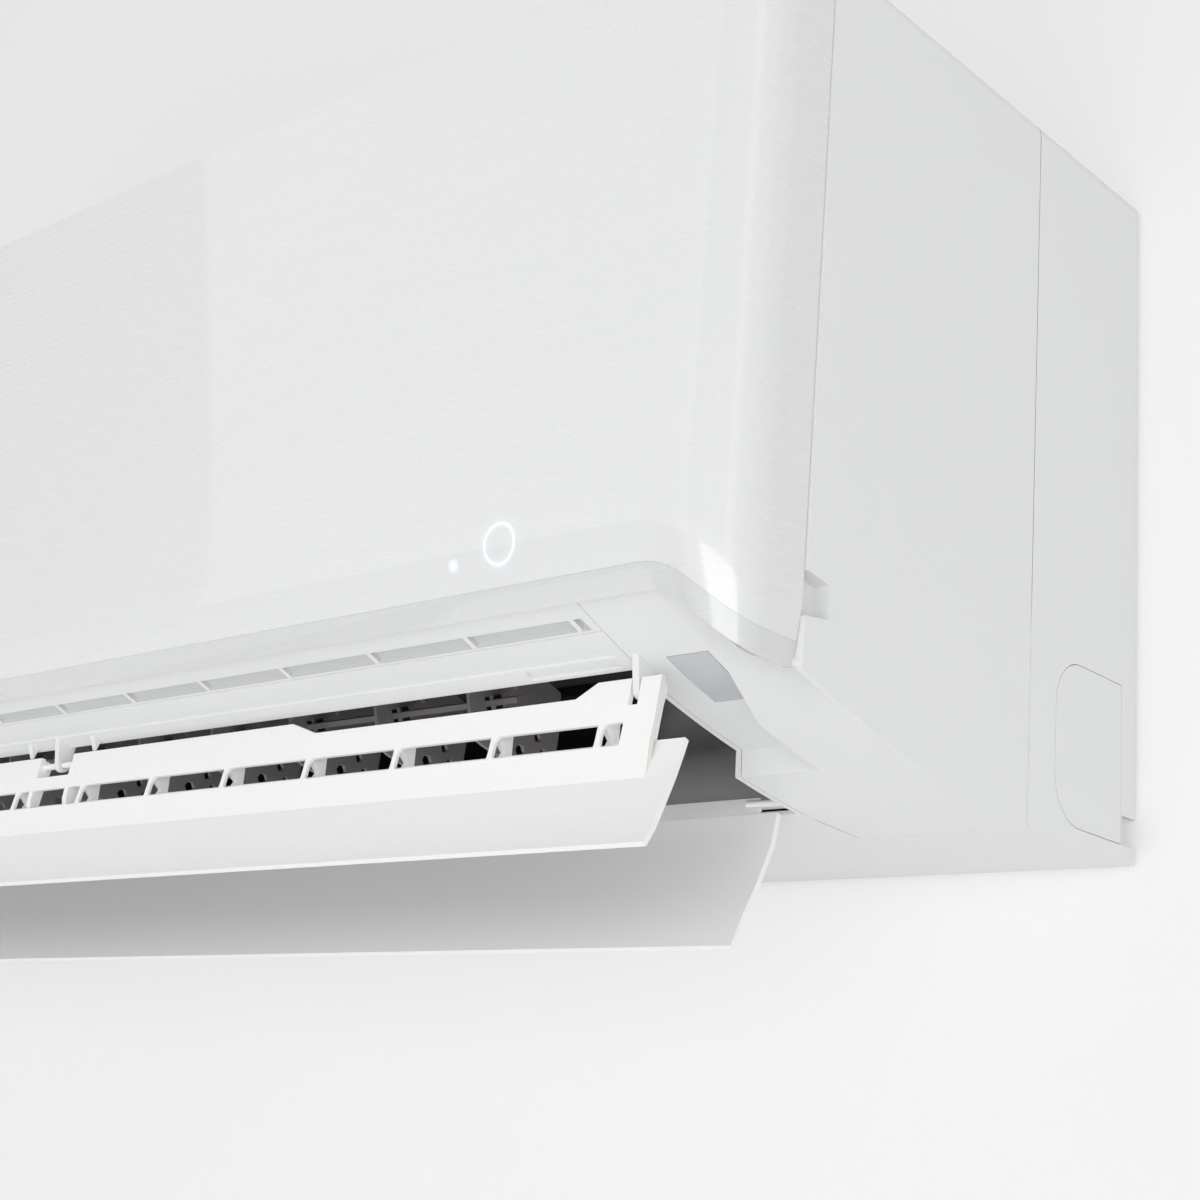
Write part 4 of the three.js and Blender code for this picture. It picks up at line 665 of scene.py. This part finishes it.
def pale_wall():
    """Pale matt paint that takes shadows, lifted towards white where it is seen, and clear from its back."""
    material, tree, surface = blank("pale_wall")
    surface.inputs["Base Color"].default_value = (0.82, 0.82, 0.82, 1)
    surface.inputs["Roughness"].default_value = 0.9
    surface.inputs["Specular IOR Level"].default_value = 0.0
    material.cycles.emission_sampling = "NONE"
    glow = add(tree, "ShaderNodeEmission", Strength=1.0)
    seen = tree.nodes.new("ShaderNodeLightPath").outputs
    shown = math_node(tree, "MAXIMUM", seen["Is Camera Ray"], seen["Is Glossy Ray"])
    share = math_node(tree, "MULTIPLY", shown, 0.45)
    through = tree.nodes.new("ShaderNodeBsdfTransparent")
    behind = tree.nodes.new("ShaderNodeNewGeometry").outputs["Backfacing"]

    def mix(factor, first, second):
        node = tree.nodes.new("ShaderNodeMixShader")
        for source, socket in zip((factor, first, second), node.inputs):
            tree.links.new(source, socket)
        return node.outputs[0]

    lifted = mix(share, surface.outputs[0], glow.outputs[0])
    tree.links.new(mix(behind, lifted, through.outputs[0]), tree.nodes["Material Output"].inputs["Surface"])
    return material


def stage_sheet(name, material, corners):
    bm = bmesh.new()
    bm.faces.new([bm.verts.new(c) for c in corners])
    make_piece(bm, name, material)


def studio():
    white_room()
    paint = pale_wall()
    stage_sheet("wall", paint, [(ROOM_LEFT, WALL_Y, FLOOR_Z), (ROOM_RIGHT, WALL_Y, FLOOR_Z),
                                (ROOM_RIGHT, WALL_Y, ROOM_TOP), (ROOM_LEFT, WALL_Y, ROOM_TOP)])
    stage_sheet("floor", paint, [(ROOM_LEFT, ROOM_FRONT, FLOOR_Z), (ROOM_RIGHT, ROOM_FRONT, FLOOR_Z),
                                 (ROOM_RIGHT, WALL_Y, FLOOR_Z), (ROOM_LEFT, WALL_Y, FLOOR_Z)])
    for entry in LAMPS:
        lamp(*entry)
    bpy.context.scene.view_settings.view_transform = "Standard"


# ------------------------------------------------------------------ which faces get the inner material
# the trim strip's slot: its span in depth, and the strip's face, below which the slot's floor doesn't count
SLOT_FRONT, SLOT_REAR = -251.2, -244.8
STRIP_Y, STRIP_Z, STRIP_FALL = -250.5, 48.0, 0.432
TAB_END, TAB_END_SPAN = 365, 1
DUCT_HALF, DUCT_REAR, DUCT_LOW, DUCT_HIGH = 346.5, -50, 45, 290


def in_unit(centre):
    """Distance from the middle, depth and height, in the unit's millimetres."""
    return abs(centre.x) * 1000, centre.y * 1000, centre.z * 1000 - LIFT


def in_slot(centre, normal):
    """True for the floor of the ribbed slot in the trim strip, which follows the strip's slope and takes
    painted shade.
    """
    x, y, z = in_unit(centre)
    return SLOT_FRONT < y < SLOT_REAR and z > STRIP_Z - STRIP_FALL * (y - STRIP_Y)


def on_tab_end(centre, normal):
    """True for the outer end faces of the upper louvre's tabs."""
    x, y, z = in_unit(centre)
    return abs(normal.x) > 0.9 and abs(x - TAB_END) < TAB_END_SPAN


def in_duct(centre, normal):
    """True for the faces of the rear chassis that line the air duct, which take the painted duct shade."""
    x, y, z = in_unit(centre)
    return x <= DUCT_HALF and y <= DUCT_REAR and DUCT_LOW < z <= DUCT_HIGH


# ------------------------------------------------------------------ the unit
KEPT = {
    WHITE: ("pipe_port_cover_right", "pipe_port_cover_left", "drain_hose", "electrical_box",
            "electrical_cover", "motor_bracket", "panel_backing", "panel_hinge_arm_right",
            "panel_hinge_arm_left"),
    # the fan takes the painted shade of the dark duct
    SHADE: ("crossflow_fan",),
    VANE: ("fan_bearing_housing", "terminal_block", "link_bar_right", "link_bar_left"),
    ZINC: ("mounting_plate", "fan_shaft", "motor_shaft", "fan_motor", "upper_louver_motor",
           "lower_louver_motor", "vane_motor_left", "vane_motor_right", "casing_screw_1", "casing_screw_2",
           "casing_screw_3"),
    FINS: ("coil_front_lower", "coil_front_upper", "coil_rear"),
    COPPER: ("gas_pipe", "liquid_pipe"),
    BRASS: ("gas_flare_nut", "liquid_flare_nut"),
    BOARD: ("control_board", "display_board"),
    NET: ("air_filter_right", "air_filter_left"),
    GUIDE: ("light_ring", "mode_indicator", "auto_button"),
    FOAM: ("drain_pan",),
}


def dress():
    softened("front_casing", WHITE, 0.0006)
    softened("rear_chassis", WHITE, 0.0006, inner=DUCT_SHADE, inside=in_duct, trim=trim_top_corners)
    softened("outlet_trim_strip", WHITE, 0.0002, inner=SLOT_SHADE, inside=in_slot)
    softened("upper_louver", SATIN, 0.0004, inner=CREAM, inside=on_tab_end)
    softened("lower_louver", SATIN, 0.0005)
    softened("receiver_window", LENS, 0.0003)
    front_panel()
    rib_fronts()
    for k in range(1, 11):
        softened(f"vane_{k}", VANE, 0.0002)
    for material, names in KEPT.items():
        for name in names:
            keep(name, material)


photo_camera()
dress()
studio()
bpy.context.view_layer.update()
